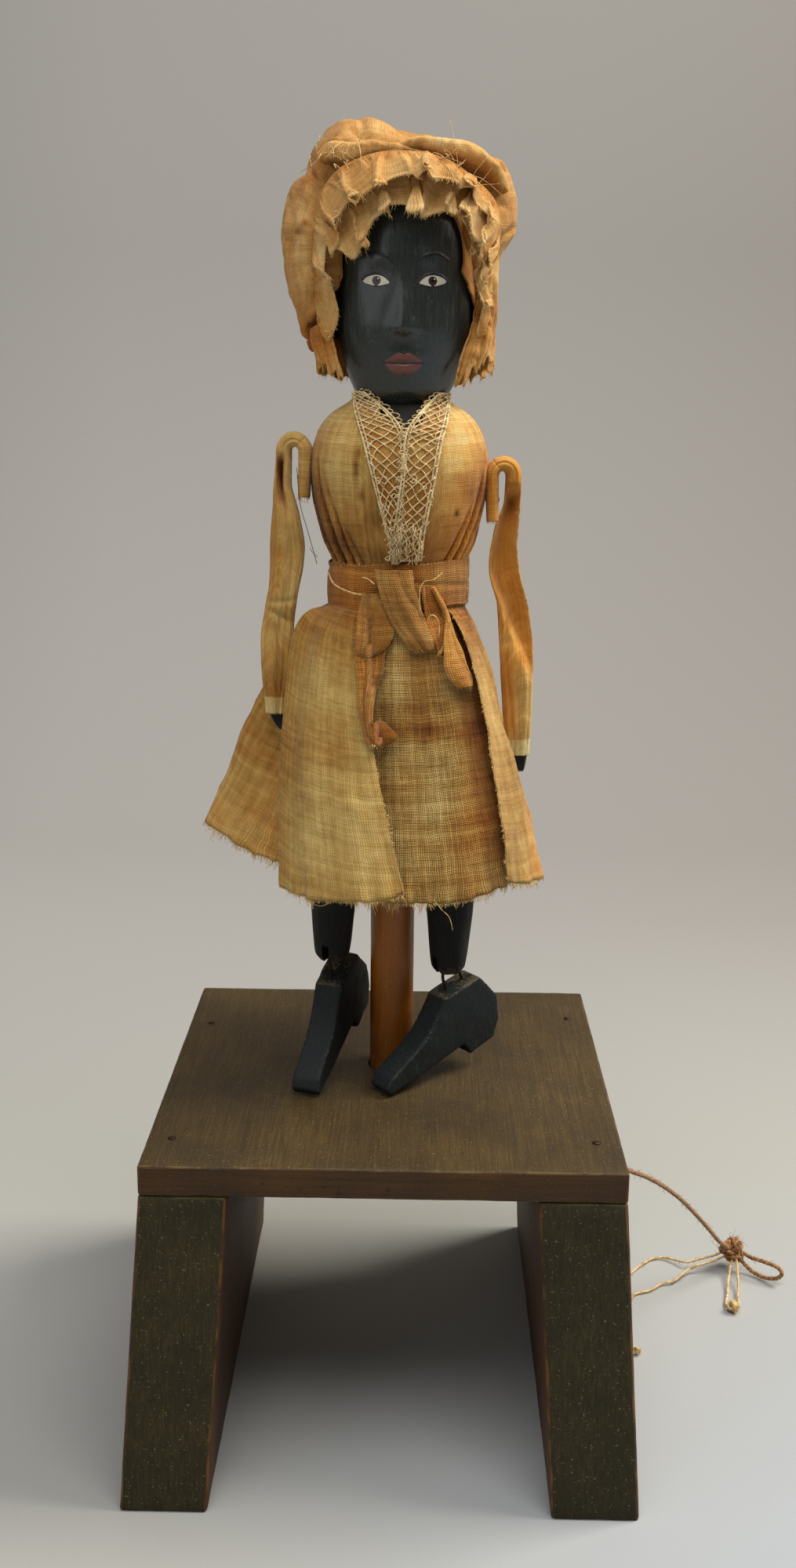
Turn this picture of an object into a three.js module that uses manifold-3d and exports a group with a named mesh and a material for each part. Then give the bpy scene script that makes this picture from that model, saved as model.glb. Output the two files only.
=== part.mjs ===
import * as THREE from 'three';
import { mergeVertices } from 'three/addons/utils/BufferGeometryUtils.js';
import Module from 'manifold-3d';

// A folk-art dancing doll on a small bench. The doll is fixed to an upright spindle that turns
// in the bench's board. A cord wound on the spindle's foot leaves through the right leg board.
// Units are millimetres, +Z is up, the doll faces -Y, and the origin is the bench's foot centre.

const wasm = await Module();
wasm.setup();

// Driving dimensions: bench
const standWidth = 127;
const standDepth = 127;
const standHeight = 94;
const boardThickness = 8.5;
const legThickness = 23.2;
const legSplay = 5.2;
const legFlare = 12;
const railThickness = 6;
const railDepth = 18;
const nailRadius = 0.8;
const nailHeadRadius = 1.05;
const nailHeadThickness = 0.5;
const nailLength = 26;
const nailInset = 6.7;
const nailSetbacks = [
  { name: 'front_left', side: -1, fromFront: 16 },
  { name: 'front_right', side: 1, fromFront: 17.3 },
  { name: 'back_left', side: -1, fromFront: 96 },
  { name: 'back_right', side: 1, fromFront: 104 },
];
const railNailLength = 36;

// Driving dimensions: spindle and its bearing
const spindleX = 0.8;
const spindleY = 4;
const spindleRadius = 6.35;
const spindlePlay = 0.5;
const washerThickness = 0.8;
const washerLip = 1.15;
const pivotRadius = 1.25;
const pivotHeadRadius = 2.8;
const pivotHeadThickness = 1;
const pivotBite = 14;
const spindleBite = 46;
const pinPlay = 0.25;
const seatGap = 0.3;

// Driving dimensions: doll's wood
const dollX = 1.5;
const dollAboveBench = 98;
const hipBlockHeight = 45;
const hipBlockWall = 3.6;
const hipBlockCheek = 2;
const bustHeight = 49.4;
const bodyDepthRatio = 0.82;
const neckRadius = 7.8;
const neckBite = 13;
const chinDrop = 3.4;
const headHeight = 66;
const headHalfWidth = 18.2;
const hipPinRadius = 1;
const hipPinAboveFoot = 8;
const hipPinForward = 3.5;
const hipPinOverhang = 0.4;
const hipPinHeadRadius = 2;
const hipPinHeadThickness = 0.6;

// Driving dimensions: legs and shoes
const legHipRadius = 5.2;
const legCalfRadius = 7.1;
const legAnkleRadius = 4.6;
const legForwardLean = 2.6;
const anklePinRadius = 0.55;
const kerfWidth = 2;
const kerfHeight = 7.5;
const stapleWireRadius = 0.45;
const stapleHalfSpan = 3.1;
const stapleBite = 9;
const shoeHalfWidth = 4.2;
const feet = [
  { side: 'left', sign: -1, legLength: 69.2, outwardLean: 1.3, heading: -110, toeDown: 29 },
  { side: 'right', sign: 1, legLength: 72.5, outwardLean: -0.6, heading: -141.5, toeDown: 20 },
];

// Driving dimensions: clothes
const clothThickness = 0.8;
const waistRadius = 18.3;
const beltDrop = 5.4;
const beltHeight = 12;
const beltThickness = 1.2;
const foldWidth = 8;
const foldInnerRadius = 2.9;
const foldOuterRadius = 4.3;
const sleeveDepth = 5.4;
const handBite = 9;
const tackRadius = 0.5;
const tackHeadRadius = 1.5;
const tackHeadThickness = 0.7;
const tackLength = 8;

// Driving dimensions: pull cord
const cordRadius = 0.7;
const thinCordRadius = 0.42;
const windingLoops = 7;
const windingPitch = 2.2;
const windingHeadroom = 2.2;
const cordHoleRadius = 1.4;
const knotRadius = 3.3;

const radians = THREE.MathUtils.degToRad;
const object = new THREE.Group();
object.name = 'dancing_doll';

// Finishes
const finish = (color, roughness, metalness = 0) =>
  new THREE.MeshStandardMaterial({ color, roughness, metalness });
const boardWood = finish(0x4b3a2a, 0.6);
const legWood = finish(0x383018, 0.75);
const spindleWood = finish(0x8a4e20, 0.45);
const darkPaint = finish(0x20262b, 0.5);
const muslin = finish(0xc59b5c, 0.95);
const sheerMuslin = finish(0xc9a873, 0.95);
const lace = finish(0xd3b67f, 0.95);
const bonnetCloth = finish(0xcf9c58, 0.95);
const steel = finish(0x4a4038, 0.5, 0.8);
const twine = finish(0x8f6c48, 0.9);
const cotton = finish(0xdcc9a4, 0.9);

function place(name, geometry, material, parent = object) {
  const mesh = new THREE.Mesh(geometry, material);
  mesh.name = name;
  parent.add(mesh);
  return mesh;
}

// Booleans
function toSolid(geometry) {
  const bare = geometry.clone();
  bare.deleteAttribute('normal');
  bare.deleteAttribute('uv');
  const merged = mergeVertices(bare, 1e-4);
  return new wasm.Manifold(new wasm.Mesh({
    numProp: 3,
    vertProperties: new Float32Array(merged.attributes.position.array),
    triVerts: new Uint32Array(merged.index.array),
  }));
}

function toGeometry(solid) {
  const mesh = solid.getMesh();
  const geometry = new THREE.BufferGeometry();
  geometry.setAttribute('position', new THREE.BufferAttribute(mesh.vertProperties, 3));
  geometry.setIndex(new THREE.BufferAttribute(mesh.triVerts, 1));
  return geometry;
}

function cut(geometry, ...tools) {
  return toGeometry(tools.reduce((solid, tool) => solid.subtract(toSolid(tool)), toSolid(geometry)));
}

function join(first, second) {
  return toGeometry(toSolid(first).add(toSolid(second)));
}

// A round bar between two points
function bar(from, to, radius, sides = 16) {
  const start = new THREE.Vector3(...from);
  const end = new THREE.Vector3(...to);
  const geometry = new THREE.CylinderGeometry(radius, radius, start.distanceTo(end), sides);
  const turn = new THREE.Quaternion().setFromUnitVectors(
    new THREE.Vector3(0, 1, 0), end.clone().sub(start).normalize());
  geometry.applyQuaternion(turn);
  return geometry.translate(...start.add(end).multiplyScalar(0.5).toArray());
}

// A turned piece about the Z axis, from [radius, height] pairs
function turned(profile, sides = 24) {
  const points = profile.map(([radius, height]) => new THREE.Vector2(radius, height));
  const geometry = new THREE.LatheGeometry(points, sides).rotateX(Math.PI / 2);
  const index = geometry.index.array;
  if (signedVolume(geometry.attributes.position.array, index) < 0) index.reverse();
  return geometry;
}

// A nail: a shank and a flat head, lying along the direction from head to tip
function nail(head, direction, length, shankRadius, headRadius, headThickness) {
  const along = new THREE.Vector3(...direction).normalize();
  const at = (distance) => new THREE.Vector3(...head).addScaledVector(along, distance).toArray();
  return join(bar(at(-headThickness), at(0.01), headRadius, 14), bar(at(0), at(length), shankRadius, 10));
}

// A tube along a smooth curve through the points
function tube(points, radius, steps, sides = 8) {
  const path = new THREE.CatmullRomCurve3(points.map((point) => new THREE.Vector3(...point)));
  return sweep(path, radius, steps, sides);
}

function sweep(path, radius, steps, sides) {
  const section = new THREE.Shape();
  for (let side = 0; side < sides; side += 1) {
    const angle = 2 * Math.PI * side / sides;
    const move = side === 0 ? 'moveTo' : 'lineTo';
    section[move](radius * Math.cos(angle), radius * Math.sin(angle));
  }
  return new THREE.ExtrudeGeometry(section, { steps, extrudePath: path, bevelEnabled: false });
}

function signedVolume(positions, index) {
  const corner = (k) => new THREE.Vector3().fromArray(positions, 3 * index[k]);
  let volume = 0;
  for (let k = 0; k < index.length; k += 3) {
    volume += corner(k).dot(corner(k + 1).cross(corner(k + 2))) / 6;
  }
  return volume;
}

// A closed body from a grid of points whose columns run round it; the first and last rows are capped
function lofted(rows) {
  const sides = rows[0].length;
  const positions = rows.flat().flatMap((point) => point.toArray());
  const index = [];
  for (let row = 0; row < rows.length - 1; row += 1) {
    for (let side = 0; side < sides; side += 1) {
      const a = row * sides + side;
      const b = row * sides + (side + 1) % sides;
      index.push(a, b, b + sides, a, b + sides, a + sides);
    }
  }
  for (const [row, flip] of [[0, true], [rows.length - 1, false]]) {
    const middle = positions.length / 3;
    const centre = rows[row].reduce((sum, point) => sum.add(point), new THREE.Vector3());
    positions.push(...centre.divideScalar(sides).toArray());
    for (let side = 0; side < sides; side += 1) {
      const a = row * sides + side;
      const b = row * sides + (side + 1) % sides;
      index.push(...(flip ? [b, a, middle] : [a, b, middle]));
    }
  }
  return closedGeometry(positions, index);
}

// A sheet with thickness: front and back give its two faces at (u, v), each from 0 to 1
function sheet(front, back, across, down) {
  const rim = [];
  for (let i = 0; i <= across; i += 1) rim.push([i, 0]);
  for (let j = 1; j <= down; j += 1) rim.push([across, j]);
  for (let i = across - 1; i >= 0; i -= 1) rim.push([i, down]);
  for (let j = down - 1; j > 0; j -= 1) rim.push([0, j]);
  const positions = [];
  for (const face of [front, back]) {
    for (let j = 0; j <= down; j += 1) {
      for (let i = 0; i <= across; i += 1) positions.push(...face(i / across, j / down).toArray());
    }
  }
  const index = [];
  const layer = (across + 1) * (down + 1);
  const at = (i, j) => j * (across + 1) + i;
  for (let j = 0; j < down; j += 1) {
    for (let i = 0; i < across; i += 1) {
      const [a, b, c, d] = [at(i, j), at(i + 1, j), at(i + 1, j + 1), at(i, j + 1)];
      index.push(a, b, c, a, c, d);
      index.push(layer + a, layer + c, layer + b, layer + a, layer + d, layer + c);
    }
  }
  rim.forEach(([i, j], k) => {
    const [nextI, nextJ] = rim[(k + 1) % rim.length];
    const a = at(i, j);
    const b = at(nextI, nextJ);
    index.push(b, a, layer + a, b, layer + a, layer + b);
  });
  return closedGeometry(positions, index);
}

function closedGeometry(positions, index) {
  if (signedVolume(positions, index) < 0) index.reverse();
  const geometry = new THREE.BufferGeometry();
  geometry.setAttribute('position', new THREE.Float32BufferAttribute(positions, 3));
  geometry.setIndex(index);
  return geometry;
}

// Smooth values between rows of a table, with u from 0 at the first row to 1 at the last
function between(rows, u) {
  const t = u * (rows.length - 1);
  const i = Math.min(Math.floor(t), rows.length - 2);
  const w = t - i;
  const row = (k) => rows[Math.max(0, Math.min(rows.length - 1, k))];
  return rows[0].map((_, c) => {
    const [p, q, r, s] = [row(i - 1)[c], row(i)[c], row(i + 1)[c], row(i + 2)[c]];
    return q + 0.5 * w * (r - p + w * (2 * p - 5 * q + 4 * r - s + w * (3 * (q - r) + s - p)));
  });
}

const mix = (a, b, w) => a + (b - a) * w;

// Heights, from the bench up
const boardUnderside = standHeight - boardThickness;
const torsoFoot = standHeight + dollAboveBench;
const torsoWaist = torsoFoot + hipBlockHeight;
const torsoTop = torsoWaist + bustHeight;
const skirtTop = torsoWaist + seatGap;
const beltBottom = torsoWaist - beltDrop;
const beltTop = beltBottom + beltHeight;
const chinHeight = torsoTop - chinDrop;
const headTop = chinHeight + headHeight;
const hipPinHeight = torsoFoot + hipPinAboveFoot;

// The winding hangs under the board, the cord leaves below it, and the rail carries the spindle
const windingRadius = spindleRadius + seatGap + cordRadius;
const windingStart = boardUnderside - windingHeadroom - cordRadius - windingLoops * windingPitch;
const cordHeight = windingStart - 2 * cordRadius - 0.5;
const cordY = spindleY - windingRadius;
const spindleFoot = cordHeight - 4 * cordRadius;
const railTop = spindleFoot - washerThickness - 2 * seatGap;

// Bench: the board, two splayed leg boards and the rail under the spindle
const halfWidth = standWidth / 2;
const halfDepth = standDepth / 2;
const frontEdge = -halfDepth;
const railBottom = railTop - railThickness;
const railMiddle = (railTop + railBottom) / 2;
const splayAt = (height) => legSplay * (boardUnderside - height) / boardUnderside;
const legOuterAt = (height) => halfWidth + splayAt(height);
const legInnerAt = (height) => legOuterAt(height) - legThickness;

function legBoard(side) {
  const geometry = new THREE.BoxGeometry(legThickness, standDepth, boardUnderside, 1, 2, 2);
  geometry.translate(side * (halfWidth - legThickness / 2), 0, boardUnderside / 2);
  const position = geometry.attributes.position;
  for (let k = 0; k < position.count; k += 1) {
    const height = position.getZ(k);
    const flare = 1 + 2 * legFlare * (1 - height / boardUnderside) / standDepth;
    position.setXY(k, position.getX(k) + side * splayAt(height), position.getY(k) * flare);
  }
  return geometry;
}

const topNails = nailSetbacks.map(({ name, side, fromFront }) =>
  ({ name, x: side * (halfWidth - nailInset), y: frontEdge + fromFront }));
const topNailHole = ({ x, y }) =>
  bar([x, y, standHeight + 1], [x, y, standHeight - nailLength - 1], nailRadius + pinPlay, 10);
const spindleHole = bar(
  [spindleX, spindleY, boardUnderside - 1], [spindleX, spindleY, standHeight + 1],
  spindleRadius + spindlePlay, 32);
const board = new THREE.BoxGeometry(standWidth, standDepth, boardThickness)
  .translate(0, 0, standHeight - boardThickness / 2);
place('platform_board', cut(board, spindleHole, ...topNails.map(topNailHole)), boardWood);
for (const { name, x, y } of topNails) {
  place(`board_nail_${name}`, nail([x, y, standHeight + 0.1], [0, 0, -1], nailLength, nailRadius,
    nailHeadRadius, nailHeadThickness), steel);
}

const cordExitX = legOuterAt(cordHeight) + 0.7;
const railHalfLength = legInnerAt(railTop) - seatGap;
for (const [sideName, side] of [['left', -1], ['right', 1]]) {
  const nailHead = side * (legOuterAt(railMiddle) + 0.45);
  const railNailTip = nailHead - side * railNailLength;
  const holes = topNails.filter(({ x }) => x * side > 0).map(topNailHole);
  const railNailHole = bar([side * (standWidth), spindleY, railMiddle],
    [railNailTip - side, spindleY, railMiddle], nailRadius + pinPlay, 10);
  if (side > 0) {
    holes.push(bar([0, cordY, cordHeight], [standWidth, cordY, cordHeight], cordHoleRadius, 14));
  }
  place(`${sideName}_leg_board`, cut(legBoard(side), railNailHole, ...holes), legWood);
  place(`rail_nail_${sideName}`, nail([nailHead, spindleY, railMiddle], [-side, 0, 0],
    railNailLength, nailRadius, nailHeadRadius, nailHeadThickness), steel);
}
const rail = new THREE.BoxGeometry(2 * railHalfLength, railDepth, railThickness)
  .translate(0, spindleY, railMiddle);
const railCuts = [-1, 1].map((side) => bar([side * standWidth, spindleY, railMiddle],
  [side * (legOuterAt(railMiddle) - railNailLength), spindleY, railMiddle],
  nailRadius + pinPlay, 10));
const pivotHole = bar([spindleX, spindleY, railBottom - 1], [spindleX, spindleY, railTop + 1],
  pivotRadius + pinPlay, 16);
place('bearing_rail', cut(rail, pivotHole, ...railCuts), boardWood);
place('thrust_washer', cut(
  bar([spindleX, spindleY, railTop + seatGap],
    [spindleX, spindleY, railTop + seatGap + washerThickness], spindleRadius - washerLip, 24),
  pivotHole.clone().translate(0, 0, railThickness)), steel);

// Spindle, its pivot screw, and the doll's turned body
const spindleTop = torsoFoot + spindleBite;
const hipBlockHalfWidth = Math.abs(dollX - spindleX) + spindleRadius + seatGap + hipBlockWall;
const hipBlockHalfDepth = spindleRadius + seatGap + hipBlockCheek;
const hipSpacing = 2 * (hipBlockHalfWidth + seatGap + legHipRadius);
const hipPinY = spindleY - hipPinForward;
const hipPinHalfLength = hipSpacing / 2 + legHipRadius + hipPinOverhang;
const hipPinHole = bar([dollX - 2 * hipSpacing, hipPinY, hipPinHeight],
  [dollX + 2 * hipSpacing, hipPinY, hipPinHeight], hipPinRadius + pinPlay, 14);
const pivotTop = spindleFoot + pivotBite;
const pivotBottom = railBottom - seatGap;
const spindle = bar([spindleX, spindleY, spindleFoot], [spindleX, spindleY, spindleTop],
  spindleRadius, 32);
const pivotSocket = bar([spindleX, spindleY, spindleFoot - 1],
  [spindleX, spindleY, pivotTop + seatGap], pivotRadius + pinPlay, 16);
place('spindle', cut(spindle, pivotSocket, hipPinHole), spindleWood);
place('pivot_screw', nail([spindleX, spindleY, pivotBottom], [0, 0, 1], pivotTop - pivotBottom,
  pivotRadius, pivotHeadRadius, pivotHeadThickness), steel);

const bodyOutline = [
  [13, 0.5], [19, -3.7], [22.2, -8], [24.2, -14.9], [24, -22.9], [22.4, -31.4], [20.6, -37.4],
].map(([radius, below]) => [radius, torsoTop + below]);
bodyOutline.push([waistRadius + 0.1, beltTop + 0.2], [waistRadius, skirtTop + seatGap]);
const bodyAt = (x, y, z) => new THREE.Vector3(dollX + x, spindleY + y * bodyDepthRatio, z);
const onBody = (geometry) => geometry.scale(1, bodyDepthRatio, 1).translate(dollX, spindleY, 0);
const clothGap = clothThickness + seatGap;
const woodOutline = bodyOutline.slice(0, -2).map(([radius, height]) => [radius - clothGap, height - 0.5]);
const bust = onBody(turned([
  [0, torsoTop], ...woodOutline, [waistRadius - 2.2, beltTop], [waistRadius - 2.2, torsoWaist - 2],
  [0, torsoWaist - 2]], 28));
const hipBlock = new THREE.BoxGeometry(2 * hipBlockHalfWidth, 2 * hipBlockHalfDepth,
  torsoWaist - torsoFoot).translate(dollX, spindleY, (torsoWaist + torsoFoot) / 2);
const spindleSocket = bar([spindleX, spindleY, torsoFoot - 1],
  [spindleX, spindleY, spindleTop + seatGap], spindleRadius + seatGap, 32);
const neckFoot = torsoTop - neckBite;

// Head: one turned egg with its neck tenon, which sits in a dished seat in the bust
const headOutline = [
  [0, headTop], [5, headTop - 0.7], [9.4, headTop - 3.1], [13.4, headTop - 7.6],
  [headHalfWidth - 2, headTop - 14], [headHalfWidth - 0.5, headTop - 22],
  [headHalfWidth, headTop - 32], [headHalfWidth - 0.1, chinHeight + 26],
  [headHalfWidth - 0.8, chinHeight + 18.5], [headHalfWidth - 2.5, chinHeight + 12],
  [12.6, chinHeight + 5.4], [9.3, chinHeight + 0.2], [neckRadius, chinHeight - 3.5],
  [neckRadius, neckFoot], [0, neckFoot],
];
const turnedHead = (gap) => turned(headOutline.map(([radius, height], k) => [
  radius === 0 ? 0 : radius + gap,
  height + (k < 4 ? gap : 0) - (k > headOutline.length - 3 ? gap : 0)]), 24)
  .translate(dollX, spindleY, 0);
place('head', turnedHead(0), darkPaint);
const headRoom = turnedHead(seatGap);

// Shoulder folds: each sleeve's top is folded over and tacked to the side of the bust
const shoulders = [
  { side: 'left', sign: -1, fold: [dollX - 28.6, spindleY - 1, torsoTop - 13.7], tackDrop: 6.7 },
  { side: 'right', sign: 1, fold: [dollX + 28.2, spindleY - 1, torsoTop - 19.6], tackDrop: 6.3 },
];
for (const shoulder of shoulders) {
  const { sign, fold, tackDrop } = shoulder;
  const tackHeight = fold[2] - tackDrop;
  shoulder.tackHeight = tackHeight;
  shoulder.flapX = fold[0] - sign * foldInnerRadius;
  const head = [shoulder.flapX + sign * (clothThickness / 2 + seatGap), fold[1], tackHeight];
  shoulder.tack = nail(head, [-sign, 0, 0], tackLength, tackRadius, tackHeadRadius,
    tackHeadThickness);
  shoulder.tackHole = bar([head[0] + sign * 5, head[1], head[2]],
    [head[0] - sign * (tackLength + 0.5), head[1], head[2]], tackRadius + pinPlay, 10);
}
const tackHoles = shoulders.map(({ tackHole }) => tackHole);
place('torso', cut(join(bust, hipBlock), spindleSocket, headRoom, hipPinHole, ...tackHoles),
  spindleWood);
const hipPin = bar([dollX - hipPinHalfLength, hipPinY, hipPinHeight],
  [dollX + hipPinHalfLength, hipPinY, hipPinHeight], hipPinRadius, 12);
const hipPinHead = (sign) => bar([dollX + sign * (hipPinHalfLength - 0.01), hipPinY, hipPinHeight],
  [dollX + sign * (hipPinHalfLength + hipPinHeadThickness), hipPinY, hipPinHeight],
  hipPinHeadRadius, 12);
place('hip_pin', join(join(hipPin, hipPinHead(-1)), hipPinHead(1)), steel);

// Bodice: cloth drawn over the bust
const bodiceLoop = [
  ...bodyOutline,
  ...bodyOutline.map(([radius, height]) => [radius - clothThickness, height]).reverse(),
  bodyOutline[0],
];
place('bodice', cut(onBody(turned(bodiceLoop, 28)), headRoom, ...tackHoles), muslin);

// Half-width of the dressed body at a height, for pieces that lie on it
function bodyRadiusAt(height) {
  for (let k = 0; k < bodyOutline.length - 1; k += 1) {
    const [upperRadius, upper] = bodyOutline[k];
    const [lowerRadius, lower] = bodyOutline[k + 1];
    if (height <= upper && height >= lower) {
      return mix(lowerRadius, upperRadius, (height - lower) / (upper - lower));
    }
  }
  return height > bodyOutline[0][1] ? bodyOutline[0][0] : waistRadius;
}

// A point in front of the body at the sideways distance x from its middle
function frontOfBody(x, height, standOff) {
  const radius = bodyRadiusAt(height) + standOff;
  return bodyAt(x, -Math.sqrt(Math.max(radius * radius - x * x, 0)), height);
}

// Collar: two lace strips from the sides of the neck down to the belt
const collarRows = [
  [-12.6, -8.4, 284.4], [-10.2, -3.4, 277], [-7.4, 0.4, 267], [-4.6, 2.4, 255.5],
  [-2.4, 3.2, 244],
].map(([outer, inner, height]) => [outer, inner, torsoTop + height - 286.4]);
const collarSides = [['left', 1, 1.5 * seatGap], ['right', -1, 2.5 * seatGap + clothThickness]];
for (const [side, sign, standOff] of collarSides) {
  const face = (extra) => (u, v) => {
    const [outer, inner, height] = between(collarRows, v);
    return frontOfBody(sign * mix(outer, inner, u), height, standOff + extra);
  };
  place(`collar_${side}`, cut(sheet(face(clothThickness), face(0), 5, 10), headRoom), lace);
}

// Belt: a band of cloth round the waist
const beltInner = waistRadius + seatGap;
const beltOuter = beltInner + beltThickness;
place('sash_belt', onBody(turned([
  [beltOuter, beltBottom], [beltOuter, beltTop], [beltInner, beltTop], [beltInner, beltBottom],
  [beltOuter, beltBottom]], 36)), muslin);

// Skirt: rows of [angle at the waist, angle at the hem, hem radius, drop of the hem, flare power],
// angles in degrees seen from above with -90 at the front. A low power flares high up.
const wrapRows = [
  [-116, -85.5, 36.1, 78.8, 0.55], [-122, -97, 37.3, 80.8, 0.5], [-130, -110, 38.2, 81.2, 0.42],
  [-141, -124, 38.6, 82.2, 0.34], [-151, -135, 38.2, 81.8, 0.28], [-159, -145, 38.3, 80.4, 0.26],
  [-165, -155, 30.5, 79, 0.85], [-171, -163, 34, 78.3, 0.9], [-178, -171, 39.5, 77.3, 1.5],
  [-184, -180, 46.4, 75.6, 1.5], [-188, -188, 56.4, 70.8, 0.71], [-202, -202, 52, 73.3, 0.7],
  [-216, -216, 43, 76.3, 0.8], [-230, -231, 37, 77.8, 0.85], [-246, -247, 46, 79.3, 0.75],
  [-262, -264, 37, 79.3, 0.85], [-280, -282, 45, 79.3, 0.75], [-298, -299, 36.5, 79.3, 0.85],
  [-316, -317, 45, 79.3, 0.75], [-333, -334, 37.5, 79.3, 0.8], [-346, -347, 43, 79.3, 0.8],
  [-359, -359, 35.5, 79.3, 1], [-368, -369, 36, 80.3, 1], [-376, -376, 43.6, 80.8, 0.62],
  [-394, -394.5, 42.6, 79.1, 0.5], [-405, -402.7, 42.8, 77.3, 0.42],
];
const flareTop = beltBottom - seatGap;
function skirtFall(row, height) {
  return Math.max(0, (flareTop - height) / (flareTop - skirtTop + row[3]));
}
function skirtPoint(row, height, topRadius, offset) {
  const [waistAngle, hemAngle, hemRadius, , power] = row;
  const fall = skirtFall(row, height);
  const angle = radians(mix(waistAngle, hemAngle, fall));
  const radius = mix(topRadius, hemRadius, fall ** power) - offset;
  const flatten = mix(bodyDepthRatio, 1, fall ** power);
  return new THREE.Vector3(dollX + radius * Math.cos(angle),
    spindleY + radius * Math.sin(angle) * flatten, height);
}
const waistShare = 0.1;
function skirtFace(rows, topRadius, offset) {
  return (u, v) => {
    const row = between(rows, u);
    const hang = (v - waistShare) / (1 - waistShare);
    const hem = skirtTop - row[3];
    const height = v < waistShare
      ? mix(skirtTop, flareTop, v / waistShare)
      : mix(flareTop, hem, hang * (0.45 + 0.55 * hang));
    return skirtPoint(row, height, topRadius, offset);
  };
}
place('skirt_wrap', sheet(skirtFace(wrapRows, waistRadius, 0),
  skirtFace(wrapRows, waistRadius, clothThickness), 46, 10), muslin);

const panelTopRadius = waistRadius - clothThickness - seatGap;
const panelRows = [
  [-128, -124, 31, 81.8, 0.7], [-114, -109, 32.5, 82.3, 0.7], [-102, -96, 31.5, 82.7, 0.75],
  [-90, -84, 32.4, 82.7, 0.7], [-78, -73, 33.6, 82.7, 0.72], [-66, -61, 35.8, 82.4, 0.7],
  [-54, -49, 38.2, 80.8, 0.7], [-44, -38.5, 38.6, 79.5, 0.7],
];
place('skirt_front_panel', sheet(skirtFace(panelRows, panelTopRadius, 0),
  skirtFace(panelRows, panelTopRadius, clothThickness), 21, 10), sheerMuslin);

// How far the belt and the skirt reach forward at a place across and up, for what lies on them
function frontOfSkirt(x, height) {
  const beltReach = (beltOuter ** 2 - (x - dollX) ** 2) ** 0.5 * bodyDepthRatio;
  let front = height > beltBottom - 1.2 && beltReach > 0 ? spindleY - beltReach : spindleY;
  for (const [rows, topRadius, share] of [[wrapRows, waistRadius, 0.2], [panelRows, panelTopRadius, 1]]) {
    for (let k = 0; k <= 60; k += 1) {
      const point = skirtPoint(between(rows, share * k / 60), Math.min(height, flareTop), topRadius, 0);
      if (Math.abs(point.x - x) < 1.5) front = Math.min(front, point.y);
    }
  }
  return front;
}

// Sash knot, loop and tails: rows of [left edge, right edge, drop below the belt's top, lift]
function ribbon(rows, standOff, thickness, across, down) {
  const face = (extra) => (u, v) => {
    const [left, right, drop, lift] = between(rows, v);
    const x = dollX + mix(left, right, u);
    const height = beltTop - drop;
    const front = Math.min(...[-2, 0, 2].map((step) => frontOfSkirt(x, height + step)));
    return new THREE.Vector3(x, front - standOff - lift - extra * (0.5 + 2 * u * (1 - u)), height);
  };
  return sheet(face(thickness), face(0), across, down);
}
const ribbonGap = 2 * seatGap;
place('sash_knot', ribbon([[-6, 4.8, 1, 0], [-5.2, 5.1, 5, 0], [-3.2, 5, 9.5, 0.2], [-1.4, 4.7, 15, 0.4]],
  ribbonGap, 2.4, 6, 8), muslin);
place('sash_loop', ribbon([[-10.2, -7.6, 13, 0], [-10.6, -5.4, 15.6, 0], [-10.8, -3.8, 20, 0.1],
  [-9.8, -5.6, 23.6, 0.2]], ribbonGap, 1.4, 4, 8), muslin);
place('sash_tail_left', ribbon([[-9.2, -4, 24.6, 0], [-8.8, -2.2, 36, 0], [-7.4, -2.4, 43, 0],
  [-6.2, 0.4, 46.4, 0.3], [-4, 2.4, 48, 0.8]], ribbonGap, 1, 4, 10), muslin);
place('sash_tail_right', ribbon([[6.2, 11.4, 10, 0], [8, 14, 18.6, 0], [11.5, 17.6, 24.4, 0],
  [14.2, 19.6, 29, 0], [16.4, 20, 33.4, 0.4]], ribbonGap, 1, 4, 10), muslin);

// Bonnet: a full cap gathered behind the face, as [radius, height above the head's top]
const bonnetOutline = [
  [0, 9], [9, 8.2], [17, 5], [23.5, -0.4], [27.6, -8], [29.6, -17], [29.4, -27], [28.2, -38],
  [25.6, -48.5], [20.6, -56], [14.6, -58.6], [0, -58.6],
].map(([radius, above]) => [radius, headTop + above]);
const bonnetX = dollX - 0.8;
const bonnetY = spindleY + 1.5;
const bonnetFront = spindleY - 12;
const bonnetPuffs = 9;
const puffShare = 0.035;
const bonnetRoomGap = 2 * seatGap;
function puffed(geometry) {
  const position = geometry.attributes.position;
  for (let k = 0; k < position.count; k += 1) {
    const [x, y, z] = [position.getX(k), position.getY(k), position.getZ(k)];
    const puff = 1 + puffShare * Math.sin(bonnetPuffs * Math.atan2(y, x) + (z - headTop) / 7);
    position.setXYZ(k, x * puff, y * puff, z);
  }
  return geometry;
}
const cap = puffed(turned(bonnetOutline, 36)).translate(bonnetX, bonnetY, 0);
const bonnetRoom = turnedHead(bonnetRoomGap);
const capHeight = headTop - chinHeight + 60;
const frontRoom = new THREE.BoxGeometry(90, 60, capHeight)
  .translate(bonnetX, bonnetFront - 30, headTop + 20 - capHeight / 2);
const faceRoom = new THREE.BoxGeometry(24, 30, 30).translate(dollX, bonnetFront + 12, chinHeight + 3);
place('bonnet', cut(cap, bonnetRoom, frontRoom, faceRoom), bonnetCloth);

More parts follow.
